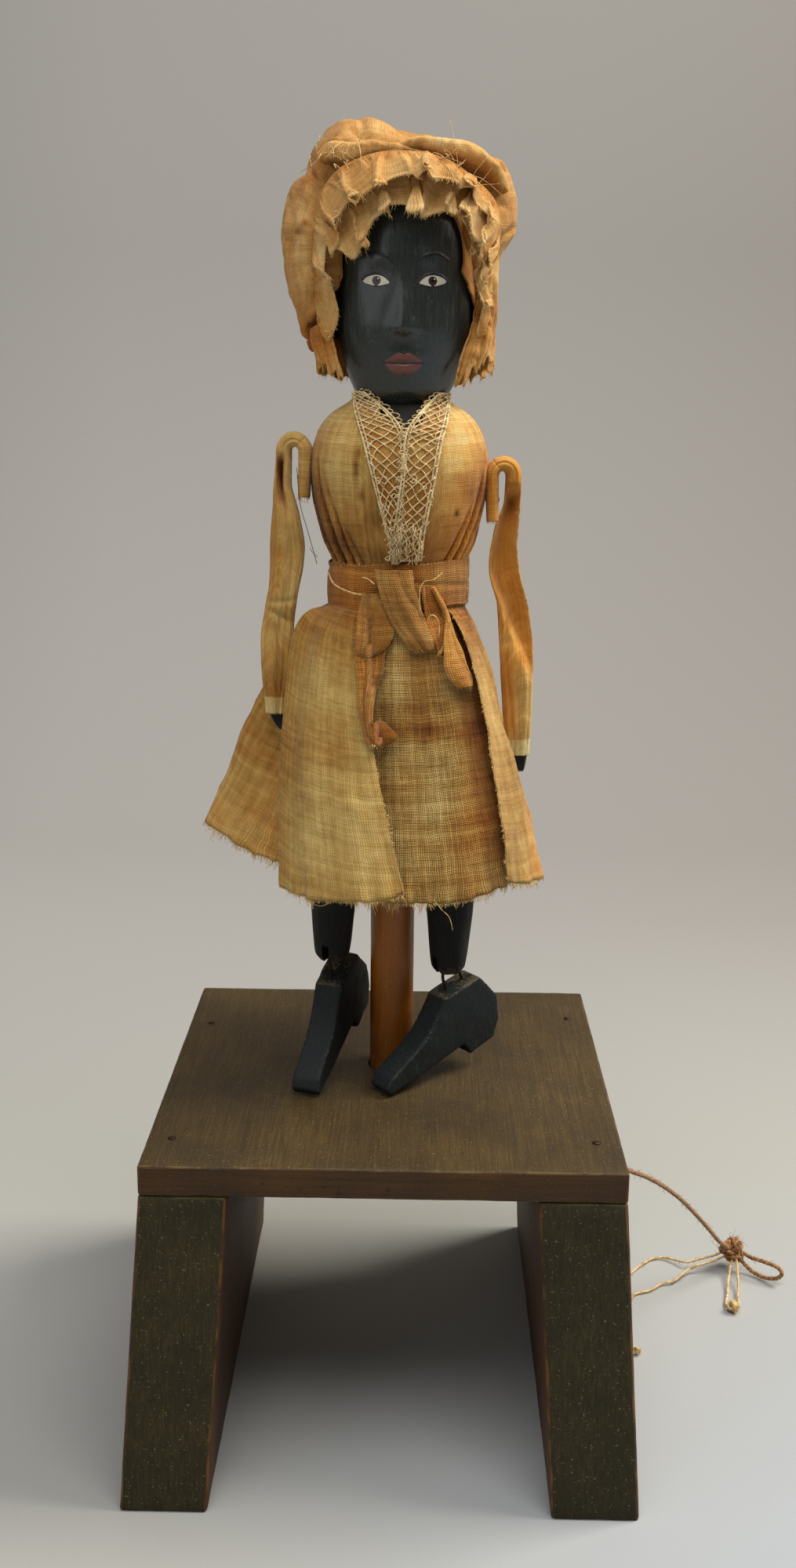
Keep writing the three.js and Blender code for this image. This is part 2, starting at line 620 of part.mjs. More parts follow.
// The ruffle round the face opening, as [across, forward, height above the chin]
const rufflePath = new THREE.CatmullRomCurve3([
  [-16.5, -0.6, 10], [-21, -1.2, 20], [-20.6, -2.2, 33], [-18.6, -3.6, 45], [-13, -5, 54.5],
  [0, -6, 59.5], [13, -5, 55.5], [18.8, -3.6, 46], [20.8, -2.2, 33], [21, -1.2, 20],
  [17.4, -0.6, 10],
].map(([x, forward, above]) =>
  new THREE.Vector3(dollX + x, bonnetFront - 4.4 + 0.2 * forward, chinHeight + above)));
const ruffleLobes = 13;
const ruffleSteps = 65;
const ruffleSides = 7;
const ruffleRows = [];
for (let step = 0; step <= ruffleSteps; step += 1) {
  const u = step / ruffleSteps;
  const centre = rufflePath.getPoint(u);
  const outward = new THREE.Vector3(centre.x - dollX, 0, centre.z - chinHeight - 33).normalize();
  const lobe = Math.sin(2 * Math.PI * ruffleLobes * u);
  const wide = 3.4 + 1.1 * lobe;
  const deep = 3 + 0.7 * Math.cos(2 * Math.PI * ruffleLobes * u);
  ruffleRows.push(Array.from({ length: ruffleSides }, (_, side) => {
    const angle = 2 * Math.PI * side / ruffleSides;
    return centre.clone().addScaledVector(outward, wide * Math.cos(angle))
      .add(new THREE.Vector3(0, deep * Math.sin(angle), 0));
  }));
}
place('bonnet_ruffle', cut(lofted(ruffleRows), bonnetRoom), bonnetCloth);

// Arms: the fold at the shoulder, the hanging sleeve and a flat wooden hand in its cuff
function stripShape(outline) {
  const shape = new THREE.Shape();
  outline.forEach(([x, z], k) => (k === 0 ? shape.moveTo(x, z) : shape.lineTo(x, z)));
  return shape;
}
// Extrudes an outline drawn in X and Z along Y, centred on middle
function slice(shape, depth, middle) {
  return new THREE.ExtrudeGeometry(shape, { depth, bevelEnabled: false, curveSegments: 10 })
    .rotateX(Math.PI / 2).translate(0, middle + depth / 2, 0);
}
function arc(centreX, centreZ, radius, fromDegrees, toDegrees, steps) {
  return Array.from({ length: steps + 1 }, (_, k) => {
    const angle = radians(mix(fromDegrees, toDegrees, k / steps));
    return [centreX + radius * Math.cos(angle), centreZ + radius * Math.sin(angle)];
  });
}
// Edges of the hanging sleeves, as [outward, down] from the middle of the fold
const sleeveEdges = {
  left: {
    outer: [[5.5, 8.7], [6.5, 22.7], [7.1, 36.7], [8.5, 44.7], [9.5, 50.7], [9.3, 61.7], [8.3, 72.1]],
    inner: [[2.8, 72.1], [1.3, 60.7], [0.7, 50.7], [-0.1, 41.7], [-2.5, 26.7], [-1.5, 18.7], [1.1, 8.7]],
  },
  right: {
    outer: [[4.7, 8.8], [4.3, 18.8], [5.5, 27.8], [7.7, 35.8], [9.3, 46.8], [9.7, 60.8], [9.2, 77.4]],
    inner: [[3.1, 77.4], [1.9, 66.8], [0.9, 54.8], [-0.7, 33.8], [-3.1, 24.8], [-1.9, 14.8], [0.5, 6.8]],
  },
};
const handThickness = 2;
const handReach = 5;
for (const { side, sign, fold, flapX, tack, tackHole, tackHeight } of shoulders) {
  const half = clothThickness / 2;
  const inward = sign > 0 ? 180 : 0;
  const over = (degrees) => inward - sign * degrees;
  const flapOutline = [
    ...arc(fold[0], fold[2], foldInnerRadius + half, over(0), over(112), 8),
    ...arc(fold[0], fold[2], foldInnerRadius - half, over(112), over(0), 8),
    [flapX + sign * half, tackHeight - 5], [flapX - sign * half, tackHeight - 5],
  ];
  place(`shoulder_fold_${side}`, cut(slice(stripShape(flapOutline), foldWidth, fold[1]), tackHole),
    muslin);
  place(`shoulder_tack_${side}`, tack, steel);

  const fromFold = ([outward, down]) => [fold[0] + sign * outward, fold[2] - down];
  const outer = sleeveEdges[side].outer.map(fromFold);
  const inner = sleeveEdges[side].inner.map(fromFold);
  const sleeveOutline = [
    ...arc(fold[0], fold[2], foldOuterRadius + half, over(100), over(180), 7), ...outer, ...inner,
    ...arc(fold[0], fold[2], foldOuterRadius - half, over(180), over(100), 7),
  ];
  const [outerX, cuff] = outer[outer.length - 1];
  const handX = (outerX + inner[0][0]) / 2;
  const handWidth = Math.abs(outerX - inner[0][0]) - 2 * clothThickness;
  const handRoom = new THREE.BoxGeometry(handWidth + 2 * seatGap, handThickness + 2 * seatGap, 2 * handBite)
    .translate(handX, fold[1], cuff + seatGap);
  place(`sleeve_${side}`, cut(slice(stripShape(sleeveOutline), sleeveDepth, fold[1]), handRoom),
    muslin);
  const handOutline = [
    [handX - handWidth / 2, cuff + handBite], [handX - handWidth / 2, cuff - 0.5 * handReach],
    [handX - 0.2 * handWidth, cuff - 0.94 * handReach], [handX + 0.15 * handWidth, cuff - handReach],
    [handX + handWidth / 2, cuff - 0.5 * handReach], [handX + handWidth / 2, cuff + handBite],
  ];
  place(`hand_${side}`, slice(stripShape(handOutline), handThickness, fold[1]), darkPaint);
}

// Legs: a tapered stick hung on the hip pin, slotted at the ankle for the staple
const shoeOutline = [
  [-6.8, -6.9], [6.5, -6.3], [12.3, -11.2], [16.2, -13.8], [20.8, -15.6], [26.4, -17], [31.6, -18.4],
  [34, -20.6], [33.6, -22.9], [20, -23.6], [5, -23.8], [4, -28], [-5.7, -28], [-9.2, -23.4],
  [-10.9, -16],
];
function footFrame({ heading, toeDown }, pinAt) {
  return new THREE.Matrix4().makeTranslation(...pinAt)
    .multiply(new THREE.Matrix4().makeRotationZ(radians(heading)))
    .multiply(new THREE.Matrix4().makeRotationY(radians(toeDown)));
}
for (const foot of feet) {
  const { side, sign, legLength, outwardLean, heading } = foot;
  const hip = new THREE.Vector3(dollX + sign * hipSpacing / 2, hipPinY, hipPinHeight);
  const leg = new THREE.Matrix4().makeTranslation(...hip.toArray())
    .multiply(new THREE.Matrix4().makeRotationX(-radians(legForwardLean)))
    .multiply(new THREE.Matrix4().makeRotationY(-sign * radians(outwardLean)));
  const ankle = new THREE.Vector3(0, 0, -legLength).applyMatrix4(leg);
  const below = legLength + 3.4;
  const stick = turned([
    [0, legHipRadius], [legHipRadius * 0.5, legHipRadius * 0.87], [legHipRadius * 0.87, legHipRadius * 0.5],
    [legHipRadius, 0], [legHipRadius + 0.2, -12], [legCalfRadius, -below + 34],
    [legCalfRadius - 0.1, -below + 24],
    [legAnkleRadius + 0.5, -below + 3], [legAnkleRadius - 0.6, -below + 0.6],
    [legAnkleRadius - 1.4, -below], [0, -below]], 18).applyMatrix4(leg);
  const across = new THREE.Matrix4().makeTranslation(...ankle.toArray())
    .multiply(new THREE.Matrix4().makeRotationZ(radians(heading)));
  const kerf = new THREE.BoxGeometry(40, kerfWidth, kerfHeight + 10)
    .translate(0, 0, kerfHeight / 2 - 8.8).applyMatrix4(across);
  const pinHalf = legAnkleRadius + 0.4;
  const pinRoom = bar([0, -20, 0], [0, 20, 0], anklePinRadius + pinPlay, 10).applyMatrix4(across);
  place(`leg_${side}`, cut(stick, kerf, pinRoom, hipPinHole), darkPaint);
  place(`ankle_pin_${side}`, bar([0, -pinHalf, 0], [0, pinHalf, 0], anklePinRadius, 10)
    .applyMatrix4(across), steel);

  const inFoot = footFrame(foot, ankle.toArray());
  const bow = anklePinRadius + seatGap + stapleWireRadius;
  const prong = (at) => [[at * stapleHalfSpan, 0, -6.6 - stapleBite], [at * stapleHalfSpan, 0, -12],
    [at * stapleHalfSpan, 0, -7], [at * stapleHalfSpan, 0, -3.4], [at * stapleHalfSpan * 0.86, 0, -1.6]];
  const staplePath = [...prong(-1), [-stapleHalfSpan * 0.45, 0, bow * 0.72], [0, 0, bow],
    [stapleHalfSpan * 0.45, 0, bow * 0.72], ...prong(1).reverse()];
  const staple = tube(staplePath, stapleWireRadius, 30, 6);
  const stapleRoom = tube(staplePath, stapleWireRadius + pinPlay, 30, 6);
  const shoe = slice(stripShape(shoeOutline), 2 * shoeHalfWidth, 0);
  place(`shoe_${side}`, cut(shoe, stapleRoom).applyMatrix4(inFoot), darkPaint);
  place(`ankle_staple_${side}`, staple.applyMatrix4(inFoot), steel);
}

// Pull cord: the winding on the spindle's foot
class Winding extends THREE.Curve {
  getPoint(t, target = new THREE.Vector3()) {
    const angle = -Math.PI / 2 + 2 * Math.PI * windingLoops * t;
    return target.set(spindleX + windingRadius * Math.cos(angle),
      spindleY + windingRadius * Math.sin(angle),
      windingStart + windingPitch * windingLoops * t);
  }
}
const winding = new Winding();
place('string_winding', sweep(winding, cordRadius, 24 * windingLoops, 6), twine);

// Least gap of the winding to itself: neighbouring turns, measured on points a turn apart
let leastGap = Infinity;
const windingSamples = 40 * windingLoops;
for (let k = 0; k + 30 <= windingSamples; k += 1) {
  const here = winding.getPoint(k / windingSamples);
  for (let other = k + 30; other <= Math.min(windingSamples, k + 50); other += 1) {
    const gap = here.distanceTo(winding.getPoint(other / windingSamples)) - 2 * cordRadius;
    leastGap = Math.min(leastGap, gap);
  }
}
console.log(`string_winding least gap to itself: ${leastGap.toFixed(2)} mm`);

// The straight lead under the board, through the right leg board
place('string_lead', bar([spindleX, cordY, cordHeight], [cordExitX, cordY, cordHeight],
  cordRadius, 8), twine);

// The free stretch down to the knot, and what lies on the floor beside the bench
const knotAt = [117.1, 50.0, 7.4];
const pullRoute = [
  [cordExitX + seatGap, cordY, cordHeight], [cordExitX + 3.4, cordY + 0.4, cordHeight - 0.5],
  [cordExitX + 8, 0.4, 61.6],
  [79.9, 7.4, 55.9], [86.8, 15.7, 48.3], [93.6, 24.2, 39.6], [100.3, 32, 30], [106.5, 38.6, 20.7],
  [111, 43.2, 13.9], [115, 47.5, 9.2],
];
place('pull_string', tube(pullRoute, cordRadius, 34, 8), twine);
const loopRoute = [
  [120.4, 48.9, 6.5], [122.5, 45.8, 6.7], [126.1, 43.2, 6.8], [130.1, 40.9, 6.2],
  [131.5, 39.1, 4.8], [129.9, 39.8, 2.6], [126.5, 42.5, 1.3], [123.2, 45.6, 1.6], [121, 47.6, 3],
  [119.3, 48.2, 5],
];
place('pull_loop', tube(loopRoute, cordRadius, 24, 8), twine);

function knot(at, radius, lobes) {
  const geometry = new THREE.SphereGeometry(radius, 12, 8);
  const position = geometry.attributes.position;
  for (let k = 0; k < position.count; k += 1) {
    const [x, y, z] = [position.getX(k), position.getY(k), position.getZ(k)];
    const swell = 1 + 0.1 * Math.sin(lobes * x / radius) * Math.cos(lobes * z / radius + y / radius);
    position.setXYZ(k, x * swell, y * swell, z * swell);
  }
  return geometry.translate(...at);
}
const thinRoute = [
  [114.2, 50, 6.5], [110.9, 49.5, 5.2], [106.3, 50, 3.4], [101.7, 49.7, 2.2], [98.3, 52.4, 1.4],
  [94.8, 54.5, 1], [91, 54.2, 0.8], [87.9, 51.6, 0.8], [82.9, 45.8, 0.8], [77.2, 36.5, 0.8],
  [73.6, 29.5, 0.8], [72.2, 20, 0.8], [73, 10, 0.8], [75.4, 4, 0.8], [77.6, 1, 0.8],
];
place('thin_string', tube(thinRoute, thinCordRadius, 30, 8), cotton);
const thinEnd = thinRoute[thinRoute.length - 1];
place('thin_string_knot', knot([thinEnd[0] + 0.5, thinEnd[1] - 1.9, 1.6], 1.3, 3), cotton);
const secondRoute = [
  [114.4, 48.8, 5.4], [110.6, 47.6, 4.2], [106.9, 47.2, 3.2], [102.5, 45.9, 2.4],
  [99.1, 42.9, 1.8], [95.5, 39.2, 1.3], [91.6, 38.2, 1], [87, 34.2, 0.8], [81.4, 31.4, 0.8],
  [77.8, 23.6, 0.8],
];
place('second_string', tube(secondRoute, thinCordRadius, 16, 8), cotton);
const tailRoute = [
  [117, 47.8, 5.9], [116.6, 46.4, 4.6], [116.3, 44.7, 3.4], [115.5, 41, 2], [114.2, 36.6, 1.3],
  [113.5, 30.7, 1], [112.8, 25.6, 0.8],
];
place('tail_string', tube(tailRoute, thinCordRadius, 16, 8), cotton);
const tailEnd = tailRoute[tailRoute.length - 1];
place('tail_string_knot', knot([tailEnd[0] - 0.3, tailEnd[1] - 2.2, 1.9], 1.7, 3), cotton);

const roomFor = (route, radius) => tube(route, radius + seatGap, 34, 8);
place('string_knot', cut(knot(knotAt, knotRadius, 5), roomFor(pullRoute, cordRadius),
  roomFor(loopRoute, cordRadius), roomFor(thinRoute, thinCordRadius),
  roomFor(secondRoute, thinCordRadius), roomFor(tailRoute, thinCordRadius)), twine);

export default object;
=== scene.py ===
"""Dancing doll on a spindle bench: looks, cords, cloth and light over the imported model.

Lengths in this script are millimetres until a mesh is made, then metres, in the model's own frame.
"""
import math
import random

import bmesh
import bpy
import numpy as np
from mathutils import Matrix, Vector, noise


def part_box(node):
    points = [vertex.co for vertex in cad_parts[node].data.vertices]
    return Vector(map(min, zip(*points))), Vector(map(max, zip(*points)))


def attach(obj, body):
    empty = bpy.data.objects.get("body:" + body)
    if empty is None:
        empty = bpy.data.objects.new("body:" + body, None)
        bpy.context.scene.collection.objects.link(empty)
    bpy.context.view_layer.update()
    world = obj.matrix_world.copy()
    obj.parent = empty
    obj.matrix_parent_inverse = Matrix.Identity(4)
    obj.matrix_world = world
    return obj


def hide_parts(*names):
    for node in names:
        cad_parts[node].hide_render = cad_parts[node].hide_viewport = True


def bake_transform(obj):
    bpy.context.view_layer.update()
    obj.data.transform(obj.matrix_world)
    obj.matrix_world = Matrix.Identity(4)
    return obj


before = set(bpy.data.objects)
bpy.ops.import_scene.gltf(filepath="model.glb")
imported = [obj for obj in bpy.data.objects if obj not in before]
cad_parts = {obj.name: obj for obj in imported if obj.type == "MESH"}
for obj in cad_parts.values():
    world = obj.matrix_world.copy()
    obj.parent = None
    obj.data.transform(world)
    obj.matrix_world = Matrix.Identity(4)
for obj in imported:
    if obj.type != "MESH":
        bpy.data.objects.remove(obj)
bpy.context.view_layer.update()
MM = 0.001


# Numbers and curves
def mix(a, b, w):
    return a + (b - a) * w


def clamp(x, low=0.0, high=1.0):
    return max(low, min(high, x))


def ease(low, high, x):
    t = clamp((x - low) / (high - low))
    return t * t * (3 - 2 * t)


def bell(x, width):
    return math.exp(-(x / width) ** 2)


def between(rows, u):
    """Smooth values between the rows of a table, u from 0 at the first row to 1 at the last."""
    t = clamp(u) * (len(rows) - 1)
    i = min(int(t), len(rows) - 2)
    w = t - i
    last = len(rows) - 1
    p, q, r, s = (rows[max(0, min(last, i + k))] for k in (-1, 0, 1, 2))
    return [
        b + 0.5 * w * (c - a + w * (2 * a - 5 * b + 4 * c - d + w * (3 * (b - c) + d - a)))
        for a, b, c, d in zip(p, q, r, s)
    ]


def table_at(rows, at):
    """First value of a table at a place in its second one, held at the ends."""
    for k, ((_, before), (_, after)) in enumerate(zip(rows, rows[1:])):
        if min(before, after) <= at <= max(before, after):
            return between(rows, (k + (at - before) / (after - before)) / (len(rows) - 1))[0]
    return min(rows[0], rows[-1], key=lambda row: abs(row[1] - at))[0]


def wander(x, y, z, size):
    """Smooth noise from -1 to 1 with features of about that size."""
    return noise.noise(Vector((x / size, y / size, z / size)))


def crumple(x, y, z, size, octaves=3):
    """Smooth noise with finer and weaker noise on it."""
    total, share, scale = 0.0, 1.0, size
    for _ in range(octaves):
        total += share * wander(x, y, z, scale)
        share *= 0.5
        scale *= 0.5
    return total


def arc_lengths(points):
    lengths = [0.0]
    for a, b in zip(points, points[1:]):
        lengths.append(lengths[-1] + math.dist(a, b))
    return lengths


def evenly(points, spacing):
    """Points a spacing apart along the smooth curve through the given ones."""
    parts = 24 * len(points)
    fine = [between(points, k / parts) for k in range(parts + 1)]
    lengths = arc_lengths(fine)
    count = max(2, round(lengths[-1] / spacing))
    made, i = [], 0
    for k in range(count + 1):
        want = lengths[-1] * k / count
        while i < len(fine) - 2 and lengths[i + 1] < want:
            i += 1
        step = lengths[i + 1] - lengths[i]
        w = (want - lengths[i]) / step if step > 0 else 0
        made.append([mix(a, b, w) for a, b in zip(fine[i], fine[i + 1])])
    return made


# Meshes
def add_mesh(name, points, faces, uvs=None, marks=None):
    """An object from points in millimetres, with flat cloth coordinates and named values per point."""
    mesh = bpy.data.meshes.new(name)
    mesh.from_pydata([[c * MM for c in p] for p in points], [], faces)
    if uvs:
        layer = mesh.uv_layers.new(name="flat")
        index = np.zeros(len(mesh.loops), np.int32)
        mesh.loops.foreach_get("vertex_index", index)
        layer.data.foreach_set("uv", np.array(uvs, np.float32)[index].ravel())
    for key, values in (marks or {}).items():
        attribute = mesh.attributes.new(key, "FLOAT", "POINT")
        attribute.data.foreach_set("value", np.array(values, np.float32))
    mesh.polygons.foreach_set("use_smooth", [True] * len(mesh.polygons))
    made = bpy.data.objects.new(name, mesh)
    bpy.context.scene.collection.objects.link(made)
    return made


def dress(made, body, slot, material, *nodes):
    """Gives a piece its body and material, and hides the CAD nodes that it stands for; slot is not used."""
    made.data.materials.clear()
    made.data.materials.append(material)
    if body:
        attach(made, body)
    if nodes:
        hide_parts(*nodes)
    return made


def grid_faces(across, down, around=False, start=0):
    row = across if around else across + 1
    faces = []
    for j in range(down):
        for i in range(across):
            a = start + j * row + i
            b = start + j * row + (i + 1) % row
            faces.append((a, b, b + row, a + row))
    return faces


def turned_out(made):
    """Faces point outwards."""
    work = bmesh.new()
    work.from_mesh(made.data)
    bmesh.ops.recalc_face_normals(work, faces=work.faces)
    work.to_mesh(made.data)
    work.free()
    return made


def sharpened(made, degrees=38):
    made.data.set_sharp_from_angle(angle=math.radians(degrees))
    return made


def cut_away(made, *cutters):
    """Takes the cutters out of a piece and removes them."""
    for cutter in cutters:
        change = made.modifiers.new("cut", "BOOLEAN")
        change.operation = "DIFFERENCE"
        change.solver = "EXACT"
        change.object = cutter
    bpy.context.view_layer.update()
    seen = made.evaluated_get(bpy.context.evaluated_depsgraph_get())
    mesh = bpy.data.meshes.new_from_object(seen)
    made.modifiers.clear()
    old = made.data
    made.data = mesh
    bpy.data.meshes.remove(old)
    mesh.name = made.name
    for cutter in cutters:
        bpy.data.meshes.remove(cutter.data)
    return made


def frames_along(points):
    """Point, side and up along a line, turning as little as possible."""
    line = [Vector(p) for p in points]
    made, up = [], None
    for k, here in enumerate(line):
        forward = (line[min(k + 1, len(line) - 1)] - line[max(k - 1, 0)]).normalized()
        if up is None:
            up = forward.orthogonal().normalized()
        up = (up - forward * up.dot(forward)).normalized()
        made.append((here, forward.cross(up), up))
    return made


def tube_mesh(points, radius, sides, shape=None, start=0):
    """Points and faces of a capped tube. shape(angle, distance) scales its radius."""
    made, travelled, last = [], 0.0, None
    for here, side, up in frames_along(points):
        travelled += (here - last).length if last is not None else 0.0
        last = here
        for k in range(sides):
            angle = 2 * math.pi * k / sides
            reach = radius * (shape(angle, travelled) if shape else 1)
            made.append(here + reach * (math.cos(angle) * side + math.sin(angle) * up))
    faces = grid_faces(sides, len(points) - 1, around=True, start=start)
    faces.append(tuple(start + k for k in reversed(range(sides))))
    faces.append(tuple(start + len(made) - sides + k for k in range(sides)))
    return made, faces


def add_tube(made, faces, points, radius, sides, shape=None):
    """Adds one more tube to a mesh in the making."""
    more, extra = tube_mesh(points, radius, sides, shape, len(made))
    made += more
    faces += extra


def lathe_mesh(profile, sides, centre, shape):
    """A turned form from (radius, height) pairs. shape(angle, height) adds to the radius."""
    made = []
    for radius, height in profile:
        for k in range(sides):
            angle = 2 * math.pi * k / sides
            reach = radius + (shape(angle, height) if radius > 0.2 else 0)
            made.append((centre[0] + reach * math.cos(angle), centre[1] + reach * math.sin(angle), height))
    return made, grid_faces(sides, len(profile) - 1, around=True)


# Materials
def linear(colour):
    """Scene-linear colour from 0-255 display values."""
    parts = [c / 255 for c in colour]
    return [c / 12.92 if c <= 0.04045 else ((c + 0.055) / 1.055) ** 2.4 for c in parts] + [1.0]


class Surface:
    """A node material, built one node at a time."""

    def __init__(self, name):
        self.material = bpy.data.materials.new(name)
        self.material.use_nodes = True
        self.tree = self.material.node_tree
        self.tree.nodes.clear()
        self.shader = self.add("ShaderNodeBsdfPrincipled")
        out = self.add("ShaderNodeOutputMaterial")
        self.tree.links.new(self.shader.outputs[0], out.inputs["Surface"])

    def add(self, kind, settings=None, **inputs):
        made = self.tree.nodes.new(kind)
        for key, value in (settings or {}).items():
            setattr(made, key, value)
        for key, value in inputs.items():
            self.put(made, int(key[1:]) if key[0] == "_" and key[1:].isdigit() else key, value)
        return made

    def put(self, made, key, value):
        socket = made.inputs[key]
        if isinstance(value, bpy.types.NodeSocket):
            self.tree.links.new(value, socket)
        else:
            socket.default_value = value

    def math(self, operation, a, b=0.0):
        return self.add("ShaderNodeMath", {"operation": operation}, _0=a, _1=b).outputs[0]

    def times(self, a, b):
        return self.math("MULTIPLY", a, b)

    def plus(self, a, b):
        return self.math("ADD", a, b)

    def place(self, scale=(1, 1, 1), source="Object"):
        """Coordinates in millimetres, each axis scaled."""
        coordinates = self.add("ShaderNodeTexCoord").outputs[source]
        factor = 1000 if source == "Object" else 1
        scaled = self.add("ShaderNodeVectorMath", {"operation": "MULTIPLY"}, _0=coordinates)
        scaled.inputs[1].default_value = [factor * s for s in scale]
        return scaled.outputs[0]

    def noise(self, where, size=1.0, detail=3.0, rough=0.55, distortion=0.0):
        made = self.add(
            "ShaderNodeTexNoise", None, Vector=where, Scale=1 / size, Detail=detail,
            Roughness=rough, Distortion=distortion)
        return made.outputs["Fac"]

    def ramp(self, value, *stops):
        """Colour from (place, colour) stops."""
        made = self.add("ShaderNodeValToRGB", None, Fac=value)
        band = made.color_ramp
        while len(band.elements) < len(stops):
            band.elements.new(0.5)
        for element, (at, colour) in zip(band.elements, stops):
            element.position = at
            element.color = linear(colour)
        return made.outputs[0]

    def level(self, value, low, high, to_low=0.0, to_high=1.0):
        """Value from low..high spread over to_low..to_high, held at the ends."""
        made = self.add("ShaderNodeMapRange", {"clamp": True}, Value=value)
        for key, number in zip((1, 2, 3, 4), (low, high, to_low, to_high)):
            made.inputs[key].default_value = number
        return made.outputs[0]

    def blend(self, weight, a, b):
        """Mix of two colours, each a socket or 0-255 display values."""
        made = self.add("ShaderNodeMix", {"data_type": "RGBA"}, _0=weight)
        for key, value in ((6, a), (7, b)):
            self.put(made, key, linear(value) if isinstance(value, (tuple, list)) else value)
        return made.outputs[2]

    def mark(self, name):
        return self.add("ShaderNodeAttribute", {"attribute_name": name}).outputs["Fac"]

    def bump(self, height, strength, distance, onto=None):
        made = self.add("ShaderNodeBump", None, Strength=strength, Distance=distance * MM, Height=height)
        if onto is not None:
            self.put(made, "Normal", onto)
        return made.outputs[0]

    def finish(self, colour, rough, normal, **constants):
        self.put(self.shader, "Base Color", colour)
        self.put(self.shader, "Roughness", rough)
        self.put(self.shader, "Normal", normal)
        for key, value in constants.items():
            self.put(self.shader, key.replace("_", " "), value)
        return self.material


def painted_wood(name, paint, worn, bare, grain=(0.9, 0.9, 0.06), wear=0.5, rough=0.5, relief=0.5,
                 sheen=0.5, darker_below=None):
    """Paint over turned wood, rubbed thin along the grain and off at the mark called edge.

    The last argument makes the colour darker towards the bottom: the height below which it is darkest, the
    height where the darkening ends, and the dark colour.
    """
    s = Surface(name)
    fine = s.noise(s.place(grain), 1.0, 4, 0.6)
    broad = s.noise(s.place((0.08, 0.08, 0.05)), 1.0, 3)
    specks = s.noise(s.place((0.9, 0.9, 0.9)), 1.0, 2)
    streaks = s.level(fine, 0.52, 0.7)
    thin = s.times(streaks, s.level(broad, 0.35, 0.7, 0.25, 1.0))
    edge = s.plus(s.mark("edge"), s.times(s.level(specks, 0.45, 0.62), s.mark("edge")))
    colour = s.blend(s.times(thin, wear), paint, worn)
    colour = s.blend(s.level(s.plus(edge, s.times(specks, 0.35)), 0.62, 0.9), colour, bare)
    flecks = s.level(s.noise(s.place((2.6, 2.6, 1.1)), 1.0, 1), 0.69, 0.74, 0, 0.7)
    colour = s.blend(s.times(flecks, wear), colour, bare)
    if darker_below:
        height = s.add("ShaderNodeSeparateXYZ", None, Vector=s.place()).outputs[2]
        colour = s.blend(s.level(height, darker_below[0], darker_below[1], 0.7, 0.0), colour, darker_below[2])
    normal = s.bump(fine, 0.25 * relief, 0.25, s.bump(specks, 0.35 * relief, 0.3))
    return s.finish(colour, s.level(fine, 0.3, 0.75, rough - 0.1, rough + 0.18), normal,
                    Specular_IOR_Level=sheen)


def bench_wood(name, dark, mid, pale, along, speckle=0.5, rough=0.62):
    """Old stained board: grain along one axis, pale speckles and dark worn patches."""
    s = Surface(name)
    across = [1.5, 1.5, 1.5]
    across["xyz".index(along)] = 0.035
    grain = s.noise(s.place(across), 1.0, 5, 0.65, 0.4)
    lines = s.noise(s.place([c * 2.2 for c in across]), 1.0, 2, 0.5)
    patch = s.noise(s.place((0.035, 0.035, 0.035)), 1.0, 4, 0.6)
    colour = s.ramp(s.level(grain, 0.2, 0.84), (0.0, dark), (0.45, mid), (1.0, pale))
    colour = s.blend(s.level(patch, 0.35, 0.68, 0.0, 0.75), colour, dark)
    fine = s.noise(s.place((2.2, 2.2, 2.2)), 1.0, 3, 0.7)
    dots = s.level(fine, 0.6, 0.7, 0.0, speckle)
    colour = s.blend(dots, colour, pale)
    dust = s.level(s.noise(s.place((1.7, 1.7, 1.7)), 1.0, 1), 0.69, 0.74, 0.0, 0.8 * speckle)
    colour = s.blend(dust, colour, (168, 156, 128))
    pits = s.level(s.noise(s.place((0.5, 0.5, 0.5)), 1.0, 2), 0.66, 0.72, 0.0, 0.6)
    colour = s.blend(pits, colour, [c * 0.5 for c in dark])
    worn = s.level(s.plus(s.mark("edge"), s.times(fine, 0.5)), 0.75, 1.1, 0, 0.8)
    colour = s.blend(worn, colour, pale)
    normal = s.bump(lines, 0.35, 0.25, s.bump(fine, 0.3, 0.2))
    return s.finish(colour, s.level(fine, 0.3, 0.7, rough - 0.12, rough + 0.16), normal,
                    Specular_IOR_Level=0.4)


